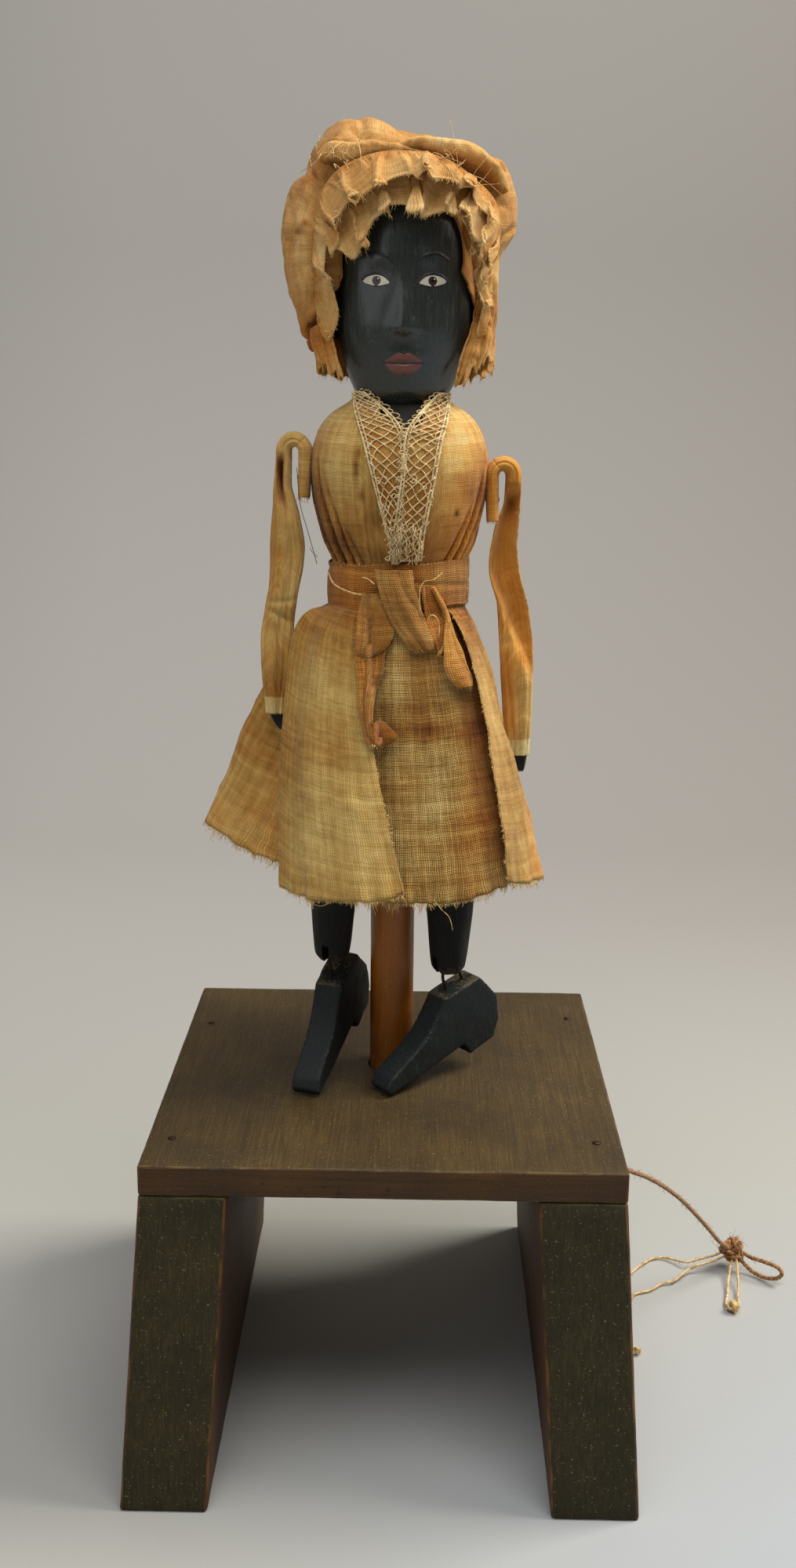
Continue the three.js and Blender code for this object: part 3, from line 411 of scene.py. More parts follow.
def cloth_finish(name, tones, warm_tones, pitch=0.39, weave=1.0, slub=1.0, relief=1.0):
    """Plain-woven cotton: uneven pale yarns over gaps darkened with painted shade, with age, painted shade,
    painted light and warmth from marks.
    """
    dirt = 0.5
    s = Surface(name)
    flat = s.place((1, 1, 1), "UV")
    sway = s.add("ShaderNodeTexNoise", None, Vector=flat, Scale=0.22, Detail=2.0)
    shift = s.add("ShaderNodeVectorMath", {"operation": "MULTIPLY_ADD"}, _0=sway.outputs["Color"])
    shift.inputs[1].default_value = (1.1, 1.1, 0.0)
    s.put(shift, 2, flat)
    split = s.add("ShaderNodeSeparateXYZ", None, Vector=shift.outputs[0])
    threads, yarn = [], []
    for axis in (0, 1):
        count = s.times(split.outputs[axis], 1 / pitch)
        threads.append(s.math("ABSOLUTE", s.math("SINE", s.times(count, math.pi))))
        single = s.add("ShaderNodeTexWhiteNoise", {"noise_dimensions": "1D"},
                       W=s.math("FLOOR", s.plus(count, 37.5 * axis)))
        thick = s.add("ShaderNodeTexWhiteNoise", {"noise_dimensions": "1D"},
                      W=s.math("FLOOR", s.plus(s.times(count, 0.43), 91.5 * axis)))
        stretch = [0.2, 0.2, 1.0]
        stretch[axis] = 1.7
        along = s.noise(s.place(stretch, "UV"), 1.0, 2, 0.6)
        mixed = s.plus(s.times(single.outputs["Value"], 0.32),
                       s.times(thick.outputs["Value"], 0.3))
        yarn.append(s.plus(mixed, s.times(s.level(along, 0.3, 0.7), 0.38)))
    height = s.times(threads[0], threads[1])
    bumpy = s.math("MAXIMUM", threads[0], threads[1])
    uneven = s.times(s.plus(yarn[0], yarn[1]), 0.5)
    broad = s.noise(s.place((0.07, 0.07, 0.07)), 1.0, 5, 0.62)
    blotch = s.noise(s.place((0.33, 0.33, 0.33)), 1.0, 4, 0.62)
    # the mark holds age together with painted shade and painted light set point by point on each sheet
    age_shade_and_light = s.plus(s.mark("age_shade_and_light"), s.times(s.math("SUBTRACT", broad, 0.5), dirt))
    age_shade_and_light = s.plus(age_shade_and_light, s.times(s.math("SUBTRACT", blotch, 0.5), 0.45 * dirt))
    age_shade_and_light = s.plus(age_shade_and_light, s.times(s.math("SUBTRACT", 0.5, uneven), 0.55 * slub))
    last = len(tones) - 1
    plain = s.ramp(age_shade_and_light, *[(k / last, tone) for k, tone in enumerate(tones)])
    warmer = s.ramp(age_shade_and_light, *[(k / last, tone) for k, tone in enumerate(warm_tones)])
    tint = s.plus(s.mark("warm"), s.times(s.math("SUBTRACT", broad, 0.5), 1.1))
    colour = s.blend(s.level(tint, 0.0, 1.0), plain, warmer)
    # the gaps between the yarns are painted dark: painted shade of the weave
    colour = s.blend(s.level(height, 0.0, 0.4, 0.6 * weave, 0.0), colour, warm_tones[-1])
    normal = s.bump(s.plus(height, s.times(uneven, 1.4)), 0.6 * relief, 0.14)
    normal = s.bump(bumpy, 0.2 * relief, 0.1, normal)
    return s.finish(colour, 0.92, normal, Sheen_Weight=0.15, Sheen_Roughness=0.5,
                    Specular_IOR_Level=0.2)


def fibre_finish(name, pale, mid, dark, size=1.2):
    s = Surface(name)
    spread = s.noise(s.place((1, 1, 1)), size, 3, 0.6)
    colour = s.ramp(s.level(spread, 0.3, 0.7), (0.0, dark), (0.5, mid), (1.0, pale))
    fine = s.noise(s.place((1, 1, 1)), 0.35, 2)
    return s.finish(colour, 0.9, s.bump(fine, 0.5, 0.15), Sheen_Weight=0.3, Specular_IOR_Level=0.2)


def metal_finish(name, clean, rust, share):
    """Steel of which about that share is rusty."""
    s = Surface(name)
    spread = s.noise(s.place((1, 1, 1)), 1.4, 4, 0.65)
    colour = s.ramp(s.level(spread, 0.55 - share / 2, 0.75 - share / 2), (0.0, clean), (1.0, rust))
    return s.finish(colour, s.level(spread, 0.35, 0.65, 0.35, 0.8), s.bump(spread, 0.4, 0.15), Metallic=0.55)


PLAIN_TONES = [(250, 234, 168), (230, 194, 116), (192, 154, 80), (150, 110, 46), (92, 58, 18)]
WARM_TONES = [(246, 196, 104), (228, 158, 62), (204, 126, 36), (158, 88, 18), (86, 44, 8)]
BONNET_TONES = [(252, 222, 158), (236, 190, 118), (202, 148, 78), (154, 104, 40), (86, 50, 14)]
SASH_TONES = [(218, 172, 98), (186, 134, 62), (150, 97, 34), (114, 68, 14), (62, 34, 6)]
muslin = cloth_finish("muslin", PLAIN_TONES, WARM_TONES)
sheer_cloth = cloth_finish("sheer_muslin", PLAIN_TONES, WARM_TONES, 0.44, 1.9, 1.7, 1.5)
bonnet_cloth = cloth_finish("bonnet_muslin", BONNET_TONES, WARM_TONES, slub=0.8)
sash_cloth = cloth_finish("sash_muslin", SASH_TONES, WARM_TONES, 0.5, 1.3, 1.1, 1.6)
lace_thread = fibre_finish("lace", (250, 230, 182), (226, 198, 142), (178, 142, 88))
cloth_thread = fibre_finish("cloth_thread", (250, 222, 158), (218, 180, 110), (168, 120, 56))
dark_thread = fibre_finish("dark_thread", (92, 82, 62), (62, 54, 40), (38, 32, 24))
twine_fibre = fibre_finish("twine", (196, 148, 96), (154, 108, 62), (88, 56, 28), 0.8)
cotton_fibre = fibre_finish("cotton_string", (248, 228, 178), (220, 186, 126), (160, 118, 66), 1.6)
platform_wood = bench_wood("bench_board", (46, 33, 9), (71, 53, 17), (100, 78, 36), "y", 0.4)
leg_wood = bench_wood("bench_legs", (30, 25, 5), (48, 40, 8), (78, 69, 30), "z", 0.5, 0.78)
inner_wood = bench_wood("leg_side", (46, 24, 3), (82, 48, 8), (114, 72, 18), "z", 0.25)
edge_wood = bench_wood("board_edge", (46, 26, 3), (74, 46, 5), (98, 64, 14), "x", 0.25)
dowel_wood = painted_wood("spindle_wood", (166, 94, 14), (208, 132, 38), (230, 168, 86),
                          grain=(1.6, 1.6, 0.05), wear=0.9, rough=0.4, darker_below=(94, 128, (84, 40, 6)))
shoe_paint = painted_wood("dark_painted_wood", (24, 29, 29), (52, 59, 57), (84, 78, 58),
                          grain=(2.2, 2.2, 0.3), wear=0.7, rough=0.6, sheen=0.3)
leg_paint = painted_wood("leg_paint", (20, 20, 16), (38, 36, 28), (64, 56, 38),
                         grain=(1.8, 1.8, 0.12), wear=0.5, rough=0.66, relief=1.6, sheen=0.3)
head_paint = painted_wood("head_paint", (44, 48, 44), (80, 83, 70), (128, 122, 92),
                          grain=(1.7, 1.7, 0.1), wear=0.5, rough=0.26, relief=0.5)
# the chest's dark paint, darker than the head's: partly painted shade in the open neck under the chin
chest_paint_and_shade = painted_wood("chest_paint_and_shade", (28, 27, 20), (46, 42, 30), (70, 60, 40),
                           grain=(1.7, 1.7, 0.1), wear=0.4, rough=0.7, sheen=0.2)
rusty_steel = metal_finish("dull_steel", (62, 56, 48), (52, 32, 18), 0.6)


# Camera, fitted to the bench's corners and the spindle
CAMERA_AT = (7.44, -427.75, 284.96)
CAMERA_PITCH = 0.23871
CAMERA_YAW = -0.01261
CAMERA_ROLL = 0.01073
PICTURE_HEIGHT = 2000
FOCAL_PIXELS = 1979.4


def photo_camera():
    data = bpy.data.cameras.new("camera")
    data.lens = 50
    data.sensor_width = 50 * PICTURE_HEIGHT / FOCAL_PIXELS
    data.clip_start = 0.01
    data.clip_end = 20
    made = bpy.data.objects.new("camera", data)
    bpy.context.scene.collection.objects.link(made)
    level = math.cos(CAMERA_PITCH)
    forward = Vector((math.sin(CAMERA_YAW) * level, math.cos(CAMERA_YAW) * level, -math.sin(CAMERA_PITCH)))
    right = Vector((math.cos(CAMERA_YAW), -math.sin(CAMERA_YAW), 0))
    up = right.cross(forward)
    across = right * math.cos(CAMERA_ROLL) + up * math.sin(CAMERA_ROLL)
    above = up * math.cos(CAMERA_ROLL) - right * math.sin(CAMERA_ROLL)
    turn = Matrix((across, above, -forward)).transposed()
    made.matrix_world = Matrix.Translation(Vector(CAMERA_AT) * MM) @ turn.to_4x4()
    bpy.context.scene.camera = made


photo_camera()


# Cords
SPINDLE = (0.8, 4.0)
CORD_Y = -3.35
CORD_Z = 65.3
CORD_EXIT = (65.73, CORD_Y, CORD_Z)
PULL_ROUTE = [
    CORD_EXIT, (68.83, -2.95, 64.8), (73.43, 0.4, 61.6), (79.9, 7.4, 55.9), (86.8, 15.7, 48.3),
    (93.6, 24.2, 39.6), (100.3, 32, 30), (106.5, 38.6, 20.7), (111, 43.2, 13.9), (115, 47.5, 9.2),
]
KNOT_AT = (117.1, 50.0, 7.4)
LOOP_ROUTE = [
    (119.2, 49.9, 6.6), (120.4, 48.9, 6.6), (122.5, 45.8, 6.7), (126.1, 43.2, 6.8), (130.1, 40.9, 6.2),
    (131.5, 39.1, 4.8), (129.9, 39.8, 2.6), (126.5, 42.5, 1.3), (123.2, 45.6, 1.6), (121, 47.6, 3),
    (119.3, 48.2, 5),
]
THIN_ROUTE = [
    (114.2, 50, 6.5), (110.9, 49.5, 5.2), (106.3, 50, 3.4), (101.7, 49.7, 2.2), (98.3, 52.4, 1.4),
    (94.8, 54.5, 1), (91, 54.2, 0.8), (87.9, 51.6, 0.8), (82.9, 45.8, 0.8), (77.2, 36.5, 0.8),
    (73.6, 29.5, 0.8), (72.2, 20, 0.8), (73, 10, 0.8), (75.4, 4, 0.8), (77.6, 1, 0.8),
]
THIN_KNOT_AT = (78.1, -0.9, 1.6)
SECOND_ROUTE = [
    (114.4, 48.8, 5.4), (110.6, 47.6, 4.2), (106.9, 47.2, 3.2), (102.5, 45.9, 2.4), (99.1, 42.9, 1.8),
    (95.5, 39.2, 1.3), (91.6, 38.2, 1), (87, 34.2, 0.8), (81.4, 31.4, 0.8), (77.8, 23.6, 0.8),
]
TAIL_ROUTE = [
    (117, 47.8, 5.9), (115.8, 45.6, 4.3), (114.9, 43, 3), (113.7, 38.6, 1.7), (112.2, 32, 1.1),
    (110.9, 27.4, 1), (110.8, 24.4, 1.1), (112.5, 22.6, 1.5), (114.3, 24.2, 1.3), (114.9, 27, 1.2),
    (115.5, 31, 1.4), (116.6, 36.2, 2), (117.2, 41, 3.2), (117.6, 44, 4.6), (117.6, 46.6, 6),
]
TAIL_KNOT_AT = (112.5, 23.4, 1.9)
CORD_RADIUS = 0.7
THIN_RADIUS = 0.42
CORD_STEP = 0.32
FLOOR_GAP = 0.15
TWINE = (CORD_RADIUS, twine_fibre, "twine")
COTTON = (THIN_RADIUS, cotton_fibre, "cotton_string")
TWINE_TWIST = (3, 4.2, 0.3)
FREE_CORDS = [
    # name, route, cord, twist, CAD node, hairs in each millimetre, seed, far end, and its knot:
    # name, middle, size, turns, CAD node, lay length, seed
    ("pull_twine", PULL_ROUTE, TWINE, TWINE_TWIST, "pull_string", 1.6, 4, "knot",
     ("pull_knot", KNOT_AT, 4.3, 6, "string_knot", 4.2, 3)),
    ("pull_loop_twine", LOOP_ROUTE, TWINE, TWINE_TWIST, "pull_loop", 1.2, 5, "object", None),
    ("thin_cotton", THIN_ROUTE, COTTON, (2, 3.4, 0.34), "thin_string", 1.2, 6, "knot",
     ("thin_cotton_knot", THIN_KNOT_AT, 1.0, 3, "thin_string_knot", 2.6, 8)),
    ("second_cotton", SECOND_ROUTE, COTTON, (2, 3.0, 0.38), "second_string", 1.6, 7, "bare", None),
    ("tail_cotton", TAIL_ROUTE, COTTON, (2, 3.4, 0.34), "tail_string", 1.0, 9, "object",
     ("tail_cotton_knot", TAIL_KNOT_AT, 2.0, 4, "tail_string_knot", 2.6, 11)),
]


def stranded(plies, lay, depth):
    """Section of a twisted cord: its plies wind once round in each lay length."""
    def shape(angle, travelled):
        turn = 2 * math.pi * travelled / lay
        return 1 - depth + depth * abs(math.cos(plies * (angle - turn) / 2))
    return shape


def off_floor(points):
    return [Vector((p.x, p.y, max(p.z, FLOOR_GAP))) for p in points]


def rope(name, points, radius, material, slot, twist, node, fuzz=0.0, seed=1):
    """A twisted cord along a route, with fuzz loose hairs in each millimetre."""
    line = evenly(points, CORD_STEP)
    made, faces = tube_mesh(line, radius * 1.04, 15 if twist[0] > 2 else 12, stranded(*twist))
    rng = random.Random(seed)
    for _ in range(int(fuzz * arc_lengths(line)[-1])):
        k = rng.randrange(2, len(line) - 2)
        here, along = Vector(line[k]), (Vector(line[k + 1]) - Vector(line[k - 1])).normalized()
        out = Vector([rng.gauss(0, 1) for _ in range(3)])
        out = (out - along * out.dot(along)).normalized()
        reach = rng.uniform(0.3, 1.3)
        bend = Vector([rng.uniform(-0.5, 0.5) for _ in range(3)])
        hair = [here + out * (radius * 0.8), here + out * (radius + reach * 0.5) + along * reach * 0.3,
                here + out * (radius + reach * 0.8) + along * reach * 0.7 + bend * reach * 0.6]
        add_tube(made, faces, off_floor(hair), 0.045, 3)
    return dress(add_mesh(name, made, faces), "stand", slot, material, node), line


def coiled_knot(name, centre, size, turns, node, lay, seed, radius, material, slot):
    """A tight knot: the cord winds over itself in crossing loops round its middle."""
    rng = random.Random(seed)
    line = []
    steps = 70 * turns
    tilt = 0.6
    for k in range(steps + 1):
        t = k / steps
        around = 2 * math.pi * turns * t
        across = 2 * math.pi * (turns - 1) * t * 0.5 + tilt
        ring = size * (0.72 + 0.2 * math.sin(3.1 * around + seed))
        rise = 0.42 * size * math.sin(2 * around + 5 * t)
        p = Vector((ring * math.cos(around), ring * math.sin(around) * 0.9, rise))
        turn = Matrix.Rotation(across, 3, "X") @ Matrix.Rotation(across * 1.7, 3, "Y")
        line.append(Vector(centre) + turn @ p)
    lowest = min(p.z for p in line) - radius
    if lowest < 0.1:
        line = [p + Vector((0, 0, 0.1 - lowest)) for p in line]
    made, faces = tube_mesh(line, radius, 12, stranded(3, lay, 0.3))
    for _ in range(26):
        here = line[rng.randrange(len(line))]
        out = (here - Vector(centre)).normalized()
        spread = Vector([rng.uniform(-0.7, 0.7) for _ in range(3)])
        hair = [here, here + (out + spread * 0.4) * size * 0.4, here + (out + spread) * size * 0.6]
        add_tube(made, faces, off_floor(hair), 0.05, 3)
    return dress(add_mesh(name, made, faces), "stand", slot, material, node)


def make_cords():
    for name, route, cord, twist, node, fuzz, seed, end, knot in FREE_CORDS:
        piece, line = rope(name, route, *cord, twist, node, fuzz, seed)
        knots = [coiled_knot(*knot, *cord)] if knot else []
        path = [[c * MM for c in p] for p in line]
        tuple(path[0])
        arc_lengths(path)[-1]
    lead = [(SPINDLE[0], CORD_Y, CORD_Z), (20, CORD_Y, 65.2), (40, CORD_Y, CORD_Z), (65.4, CORD_Y, CORD_Z)]
    rope("lead_twine", lead, *TWINE, TWINE_TWIST, "string_lead")

    turns, reach, foot, rise = 7, 7.35, 67.2, 15.4
    wound = []
    for k in range(24 * turns + 1):
        angle = -math.pi / 2 + 2 * math.pi * turns * k / (24 * turns)
        wound.append((SPINDLE[0] + reach * math.cos(angle), SPINDLE[1] + reach * math.sin(angle),
                      foot + rise * k / (24 * turns)))
    made, faces = tube_mesh(wound, CORD_RADIUS, 12, stranded(*TWINE_TWIST))
    dress(add_mesh("wound_twine", made, faces), "doll", "twine", twine_fibre, "string_winding")


make_cords()


# Bench
def rounded_box(half, spacing, radius, seed, wobble=0.15):
    """Points, faces and edge wear of a box with worn round edges, centred on the origin."""
    points, faces, wear, seen = [], [], [], {}

    def ticks(reach):
        inner = reach - radius
        count = max(1, round(2 * inner / spacing))
        middle = [mix(-inner, inner, k / count) for k in range(count + 1)]
        near = [radius * f for f in (0.35, 0.7, 1.0)]
        return [-inner - f for f in reversed(near)] + middle + [inner + f for f in near]

    lines = [ticks(h) for h in half]

    def vertex(p):
        key = tuple(round(c, 4) for c in p)
        if key in seen:
            return seen[key]
        core = [clamp(c, -h + radius, h - radius) for c, h in zip(p, half)]
        out = Vector([c - q for c, q in zip(p, core)])
        near = sum(1 for c in out if abs(c) > 1e-6)
        reach = radius
        worn = 0.0
        if near > 1:
            rough = crumple(p[0] + seed, p[1], p[2], 5.0)
            reach = radius * (1 - wobble * abs(rough))
            dent = clamp((wander(p[0], p[1] + seed, p[2], 2.4) - 0.35) * 2)
            reach -= 0.5 * dent * radius
            worn = clamp(0.6 + 0.8 * rough)
        moved = Vector(core) + out.normalized() * reach
        seen[key] = len(points)
        points.append(moved)
        wear.append(worn)
        return seen[key]

    for axis in range(3):
        a, b = [k for k in range(3) if k != axis]
        for sign in (-1, 1):
            for u0, u1 in zip(lines[a], lines[a][1:]):
                for v0, v1 in zip(lines[b], lines[b][1:]):
                    corner = []
                    for u, v in ((u0, v0), (u1, v0), (u1, v1), (u0, v1)):
                        p = [0, 0, 0]
                        p[axis], p[a], p[b] = sign * half[axis], u, v
                        corner.append(vertex(p))
                    if (sign > 0) == (axis == 1):
                        corner.reverse()
                    faces.append(corner)
    return points, faces, wear


def cylinder_cutter(start, end, radius, sides=48):
    made, faces = tube_mesh([start, end], radius, sides)
    return turned_out(add_mesh("cutter", made, faces))


STAND_HALF = 63.5
BOARD_UNDER = 85.5
STAND_TOP = 94.0
LEG_HALF = 11.6
LEG_SPLAY = 5.2
LEG_WIDENS = 24
SPINDLE_HOLE = 6.85
CORD_HOLE = 1.4
NAIL_SPOTS = [("front_left", -56.8, -47.5), ("front_right", 56.8, -46.2), ("back_left", -56.8, 32.5),
              ("back_right", 56.8, 40.5)]


def make_bench():
    thick = STAND_TOP - BOARD_UNDER
    points, faces, wear = rounded_box((STAND_HALF, STAND_HALF, thick / 2), 2.2, 0.75, 3)
    moved = []
    for p in points:
        dip = 0.12 * crumple(p.x, p.y, 3, 30)
        moved.append((p.x, p.y, p.z + (STAND_TOP + BOARD_UNDER) / 2 + dip * (p.z > 0)))
    board = add_mesh("platform", moved, faces, marks={"edge": wear})
    cut_away(board, cylinder_cutter((*SPINDLE, 80), (*SPINDLE, 100), SPINDLE_HOLE))
    sharpened(dress(board, "stand", "bench_board", platform_wood, "platform_board"))
    board.data.materials.append(edge_wood)
    for face in board.data.polygons:
        face.material_index = int(abs(face.normal.z) < 0.5)

    for name, side in (("left", -1), ("right", 1)):
        half = (LEG_HALF, STAND_HALF, BOARD_UNDER / 2)
        points, faces, wear = rounded_box(half, 3.0, 0.9, 11 + side, 0.3)
        moved = []
        for p in points:
            height = p.z + BOARD_UNDER / 2
            down = 1 - height / BOARD_UNDER
            flare = 1 + LEG_WIDENS * down / (2 * STAND_HALF)
            rough = 0.1 * crumple(p.x, p.y, p.z + 9 * side, 7)
            x = p.x + side * (STAND_HALF - LEG_HALF + LEG_SPLAY * down + rough)
            moved.append((x, p.y * flare, height))
        leg = add_mesh(f"{name}_leg", moved, faces, marks={"edge": wear})
        if side > 0:
            cut_away(leg, cylinder_cutter((30, CORD_Y, CORD_Z), (90, CORD_Y, CORD_Z), CORD_HOLE, 24))
        sharpened(dress(leg, "stand", "bench_legs", leg_wood, f"{name}_leg_board"))
        leg.data.materials.append(inner_wood)
        for face in leg.data.polygons:
            face.material_index = int(abs(face.normal.x) > 0.5)

    for name, x, y in NAIL_SPOTS:
        profile = [(0.0, 94.42), (0.6, 94.42), (0.95, 94.3), (1.1, 94.06), (1.05, 93.8), (0.8, 93.6),
                   (0.8, 90)]
        made, faces = lathe_mesh(profile, 20, (x, y),
                                 lambda a, h: 0.05 * math.sin(3 * a + x) + 0.04 * math.sin(5 * a + h))
        dress(add_mesh(f"nail_{name}", made, faces), "stand", "dull_steel", rusty_steel,
              f"board_nail_{name}")


make_bench()


# Spindle, legs and shoes
DOLL_X = 1.5
HIP_Z = 200.0
HIP_Y = 0.5
HIP_SPACING = 32.9
LEG_PITCH = 2.6
SPINDLE_RADIUS = 6.35
SPINDLE_FOOT = 62.5
SPINDLE_END = 238
FEET = {
    # side, length from hip to ankle, lean of the leg, heading and toe angle of the shoe in degrees
    "left": (-1, 69.2, 1.3, -110.0, 29.0),
    "right": (1, 72.5, -0.6, -141.5, 20.0),
}
SHOE_OUTLINE = [
    (-6.8, -6.9), (6.5, -6.3), (12.3, -11.2), (16.2, -13.8), (20.8, -15.6), (26.4, -17), (31.6, -18.4),
    (34, -20.6), (33.6, -22.9), (20, -23.6), (5, -23.8), (4, -28), (-5.7, -28), (-9.2, -23.4), (-10.9, -16),
]


def make_spindle():
    wall = [(SPINDLE_RADIUS, mix(62.6, SPINDLE_END, k / 240)) for k in range(241)]
    profile = [(0.0, SPINDLE_FOOT)] + wall + [(0.0, SPINDLE_END)]
    made, faces = lathe_mesh(
        profile, 72, SPINDLE,
        lambda a, h: 0.05 * crumple(6 * math.cos(a), 6 * math.sin(a), h * 0.2, 3) - 0.02)
    wear = [clamp(1.1 - abs(h - 95.5) / 5) * 0.35 for _, h in profile for _ in range(72)]
    dress(turned_out(add_mesh("dowel", made, faces, marks={"edge": wear})), "doll", "spindle_wood",
          dowel_wood, "spindle")


def leg_matrix(side):
    """Frames of the leg at its hip, of the cross pin in its ankle, and of the shoe."""
    sign, length, lean, heading, toe = FEET[side]
    hip = Vector((DOLL_X + sign * HIP_SPACING / 2, HIP_Y, HIP_Z))
    leg = Matrix.Translation(hip) @ Matrix.Rotation(-math.radians(LEG_PITCH), 4, "X")
    leg = leg @ Matrix.Rotation(-sign * math.radians(lean), 4, "Y")
    ankle = leg @ Vector((0, 0, -length))
    across = Matrix.Translation(ankle) @ Matrix.Rotation(math.radians(heading), 4, "Z")
    return leg, across, across @ Matrix.Rotation(math.radians(toe), 4, "Y")


def make_leg(side):
    sign, length, *_ = FEET[side]
    leg, across, foot = leg_matrix(side)
    below = length + 1.7
    rows = [(5.2, 0), (5.4, -12), (6.3, -below + 48), (7.1, -below + 34), (7.0, -below + 24),
            (6.1, -below + 13), (5.1, -below + 3.2), (4.3, -below + 1)]
    profile = [(0.0, 5.2), (2.6, 4.6), (4.5, 2.6)] + [between(rows, k / 90) for k in range(91)]
    profile += [(3.4, -below), (0.0, -below)]
    made, faces = lathe_mesh(
        profile, 48, (0, 0),
        lambda a, h: 0.22 * crumple(5 * math.cos(a), 5 * math.sin(a), h * 0.12 + 9 * sign, 2.6))
    wear = [clamp(0.75 - (h + below) / 5) for _, h in profile for _ in range(48)]
    stick = turned_out(add_mesh(f"{side}_leg_stick", made, faces, marks={"edge": wear}))
    stick.data.transform(Matrix.Scale(MM, 4) @ leg @ Matrix.Scale(1000, 4))
    kerf, kerf_faces, _ = rounded_box((20, 1.0, 8.75), 8, 0.02, 1, 0)
    blade = add_mesh("cutter", [across @ (p + Vector((0, 0, -5.05))) for p in kerf], kerf_faces)
    cut_away(stick, turned_out(blade))
    sharpened(dress(stick, f"leg_{side}", "dark_painted_wood", leg_paint, f"leg_{side}"))
    return foot


def from_line(p, a, b):
    """Distance of a point from the line between two others."""
    run = b - a
    share = clamp((p - a).dot(run) / run.length_squared)
    return (p - a - run * share).length


def make_shoe(side, foot):
    """A carved block: the outline's edges are rounded and dented, and its upper edges rubbed bare."""
    work = bmesh.new()
    low = [work.verts.new((x, -4.2, z)) for x, z in SHOE_OUTLINE]
    high = [work.verts.new((x, 4.2, z)) for x, z in SHOE_OUTLINE]
    work.faces.new(low)
    work.faces.new(list(reversed(high)))
    count = len(low)
    for k in range(count):
        n = (k + 1) % count
        work.faces.new((low[n], low[k], high[k], high[n]))
    bmesh.ops.recalc_face_normals(work, faces=work.faces)
    bmesh.ops.bevel(work, geom=list(work.edges), offset=0.75, segments=3, profile=0.55, affect="EDGES",
                    clamp_overlap=True)
    bmesh.ops.triangulate(work, faces=[f for f in work.faces if len(f.verts) > 4])
    for _ in range(3):
        long_edges = [e for e in work.edges if e.calc_length() > 1.1]
        bmesh.ops.subdivide_edges(work, edges=long_edges, cuts=1)
        bmesh.ops.triangulate(work, faces=[f for f in work.faces if len(f.verts) > 4])
    work.normal_update()
    outline = [Vector((x, 0, z)) for x, z in SHOE_OUTLINE]
    sides = list(zip(outline, outline[1:] + outline[:1]))
    made, wear = [], []
    for v in work.verts:
        p = v.co.copy()
        flat = Vector((p.x, 0, p.z))
        to_rim = min(from_line(flat, a, b) for a, b in sides)
        top = clamp((v.normal.z - 0.2) * 1.6)
        rough = crumple(p.x, p.y + foot[0][3], p.z, 4)
        worn = clamp(1.0 - max(4.2 - abs(p.y), to_rim) / 0.9) * clamp(0.7 + rough) * 0.62
        if p.x < 7:
            worn = max(worn, top * clamp(0.6 + 0.9 * crumple(p.x + 7, p.y, p.z, 6)) * 0.8)
        p += v.normal * 0.16 * rough
        made.append(foot @ p)
        wear.append(worn)
    work.verts.index_update()
    faces = [tuple(v.index for v in f.verts) for f in work.faces]
    work.free()
    shoe = add_mesh(f"{side}_shoe", made, faces, marks={"edge": wear})
    sharpened(dress(shoe, f"foot_{side}", "dark_painted_wood", shoe_paint, f"shoe_{side}"), 50)


def make_staple(side, foot):
    """Bent wire from the shoe through the slot in the ankle, on its cross pin."""
    def prong(at):
        return [(at * 3.1, 0, z) for z in (-15.6, -12, -7, -3.4)] + [(at * 2.67, 0, -1.6)]

    path = prong(-1) + [(-1.4, 0, 0.94), (0, 0, 1.3), (1.4, 0, 0.94)] + prong(1)[::-1]
    line = [foot @ Vector(p) for p in evenly(path, 0.4)]
    made, faces = tube_mesh(line, 0.45, 12)
    dress(add_mesh(f"{side}_staple", made, faces), f"foot_{side}", "dull_steel", rusty_steel,
          f"ankle_staple_{side}")


make_spindle()
for side_name in FEET:
    foot_frame = make_leg(side_name)
    make_shoe(side_name, foot_frame)
    make_staple(side_name, foot_frame)


# Head
HEAD_ROWS = [
    (9.3, 283.2), (12.6, 288.4), (15.7, 295), (17.4, 301.5), (18.1, 309), (18.2, 317), (17.7, 327),
    (16.2, 335), (13.4, 341.4), (9.4, 345.9), (5, 348.3), (0.0, 349),
]
NECK_ROWS = [(7.8, 273.4), (8.0, 276.5), (8.5, 279.5), (9.3, 283.2)]
NECK_FOOT = 273.4
NECK_TOP = 283.2
HEAD_TOP = 349
BODY_Y = 4.0


def head_radius(height):
    return table_at(HEAD_ROWS if height >= NECK_TOP else NECK_ROWS, height)


def head_lean(height):
    """How far the head has moved sideways from the neck."""
    return ease(276, 300, height)


def face_relief(x, height):
    """How far the carved face stands off the turned head, by distance from its middle and height."""
    nose = mix(0.5, 2.5, ease(316.5, 305.2, height)) * ease(301.8, 304.2, height) * ease(321, 314, height)
    out = nose * bell(x, mix(1.5, 2.9, ease(315, 304, height)))
    out += 0.45 * bell(abs(x) - 3.0, 1.5) * bell(height - 304.6, 1.7)
    out += 0.5 * bell(abs(x) - 6.8, 5.2) * bell(height - 322.0, 2.2)
    out -= 0.75 * bell(abs(x) - 7.0, 3.4) * bell(height - 316.2, 2.7)
    out += 0.35 * bell(abs(x) - 7.0, 2.6) * bell(height - 315.8, 1.5)
    out += 0.55 * bell(abs(x) - 9.2, 4.2) * bell(height - 305.5, 5.0)
    out += 0.75 * bell(x, 4.6) * bell(height - 297.4, 1.35) + 0.85 * bell(x, 3.8) * bell(height - 294.3, 1.4)
    out -= 0.42 * bell(x, 5.0) * bell(height - 295.9, 0.5)
    out -= 0.25 * bell(x, 0.8) * bell(height - 300.6, 1.6)
    out += 0.45 * bell(x, 5.0) * bell(height - 289.0, 3.0)
    return out


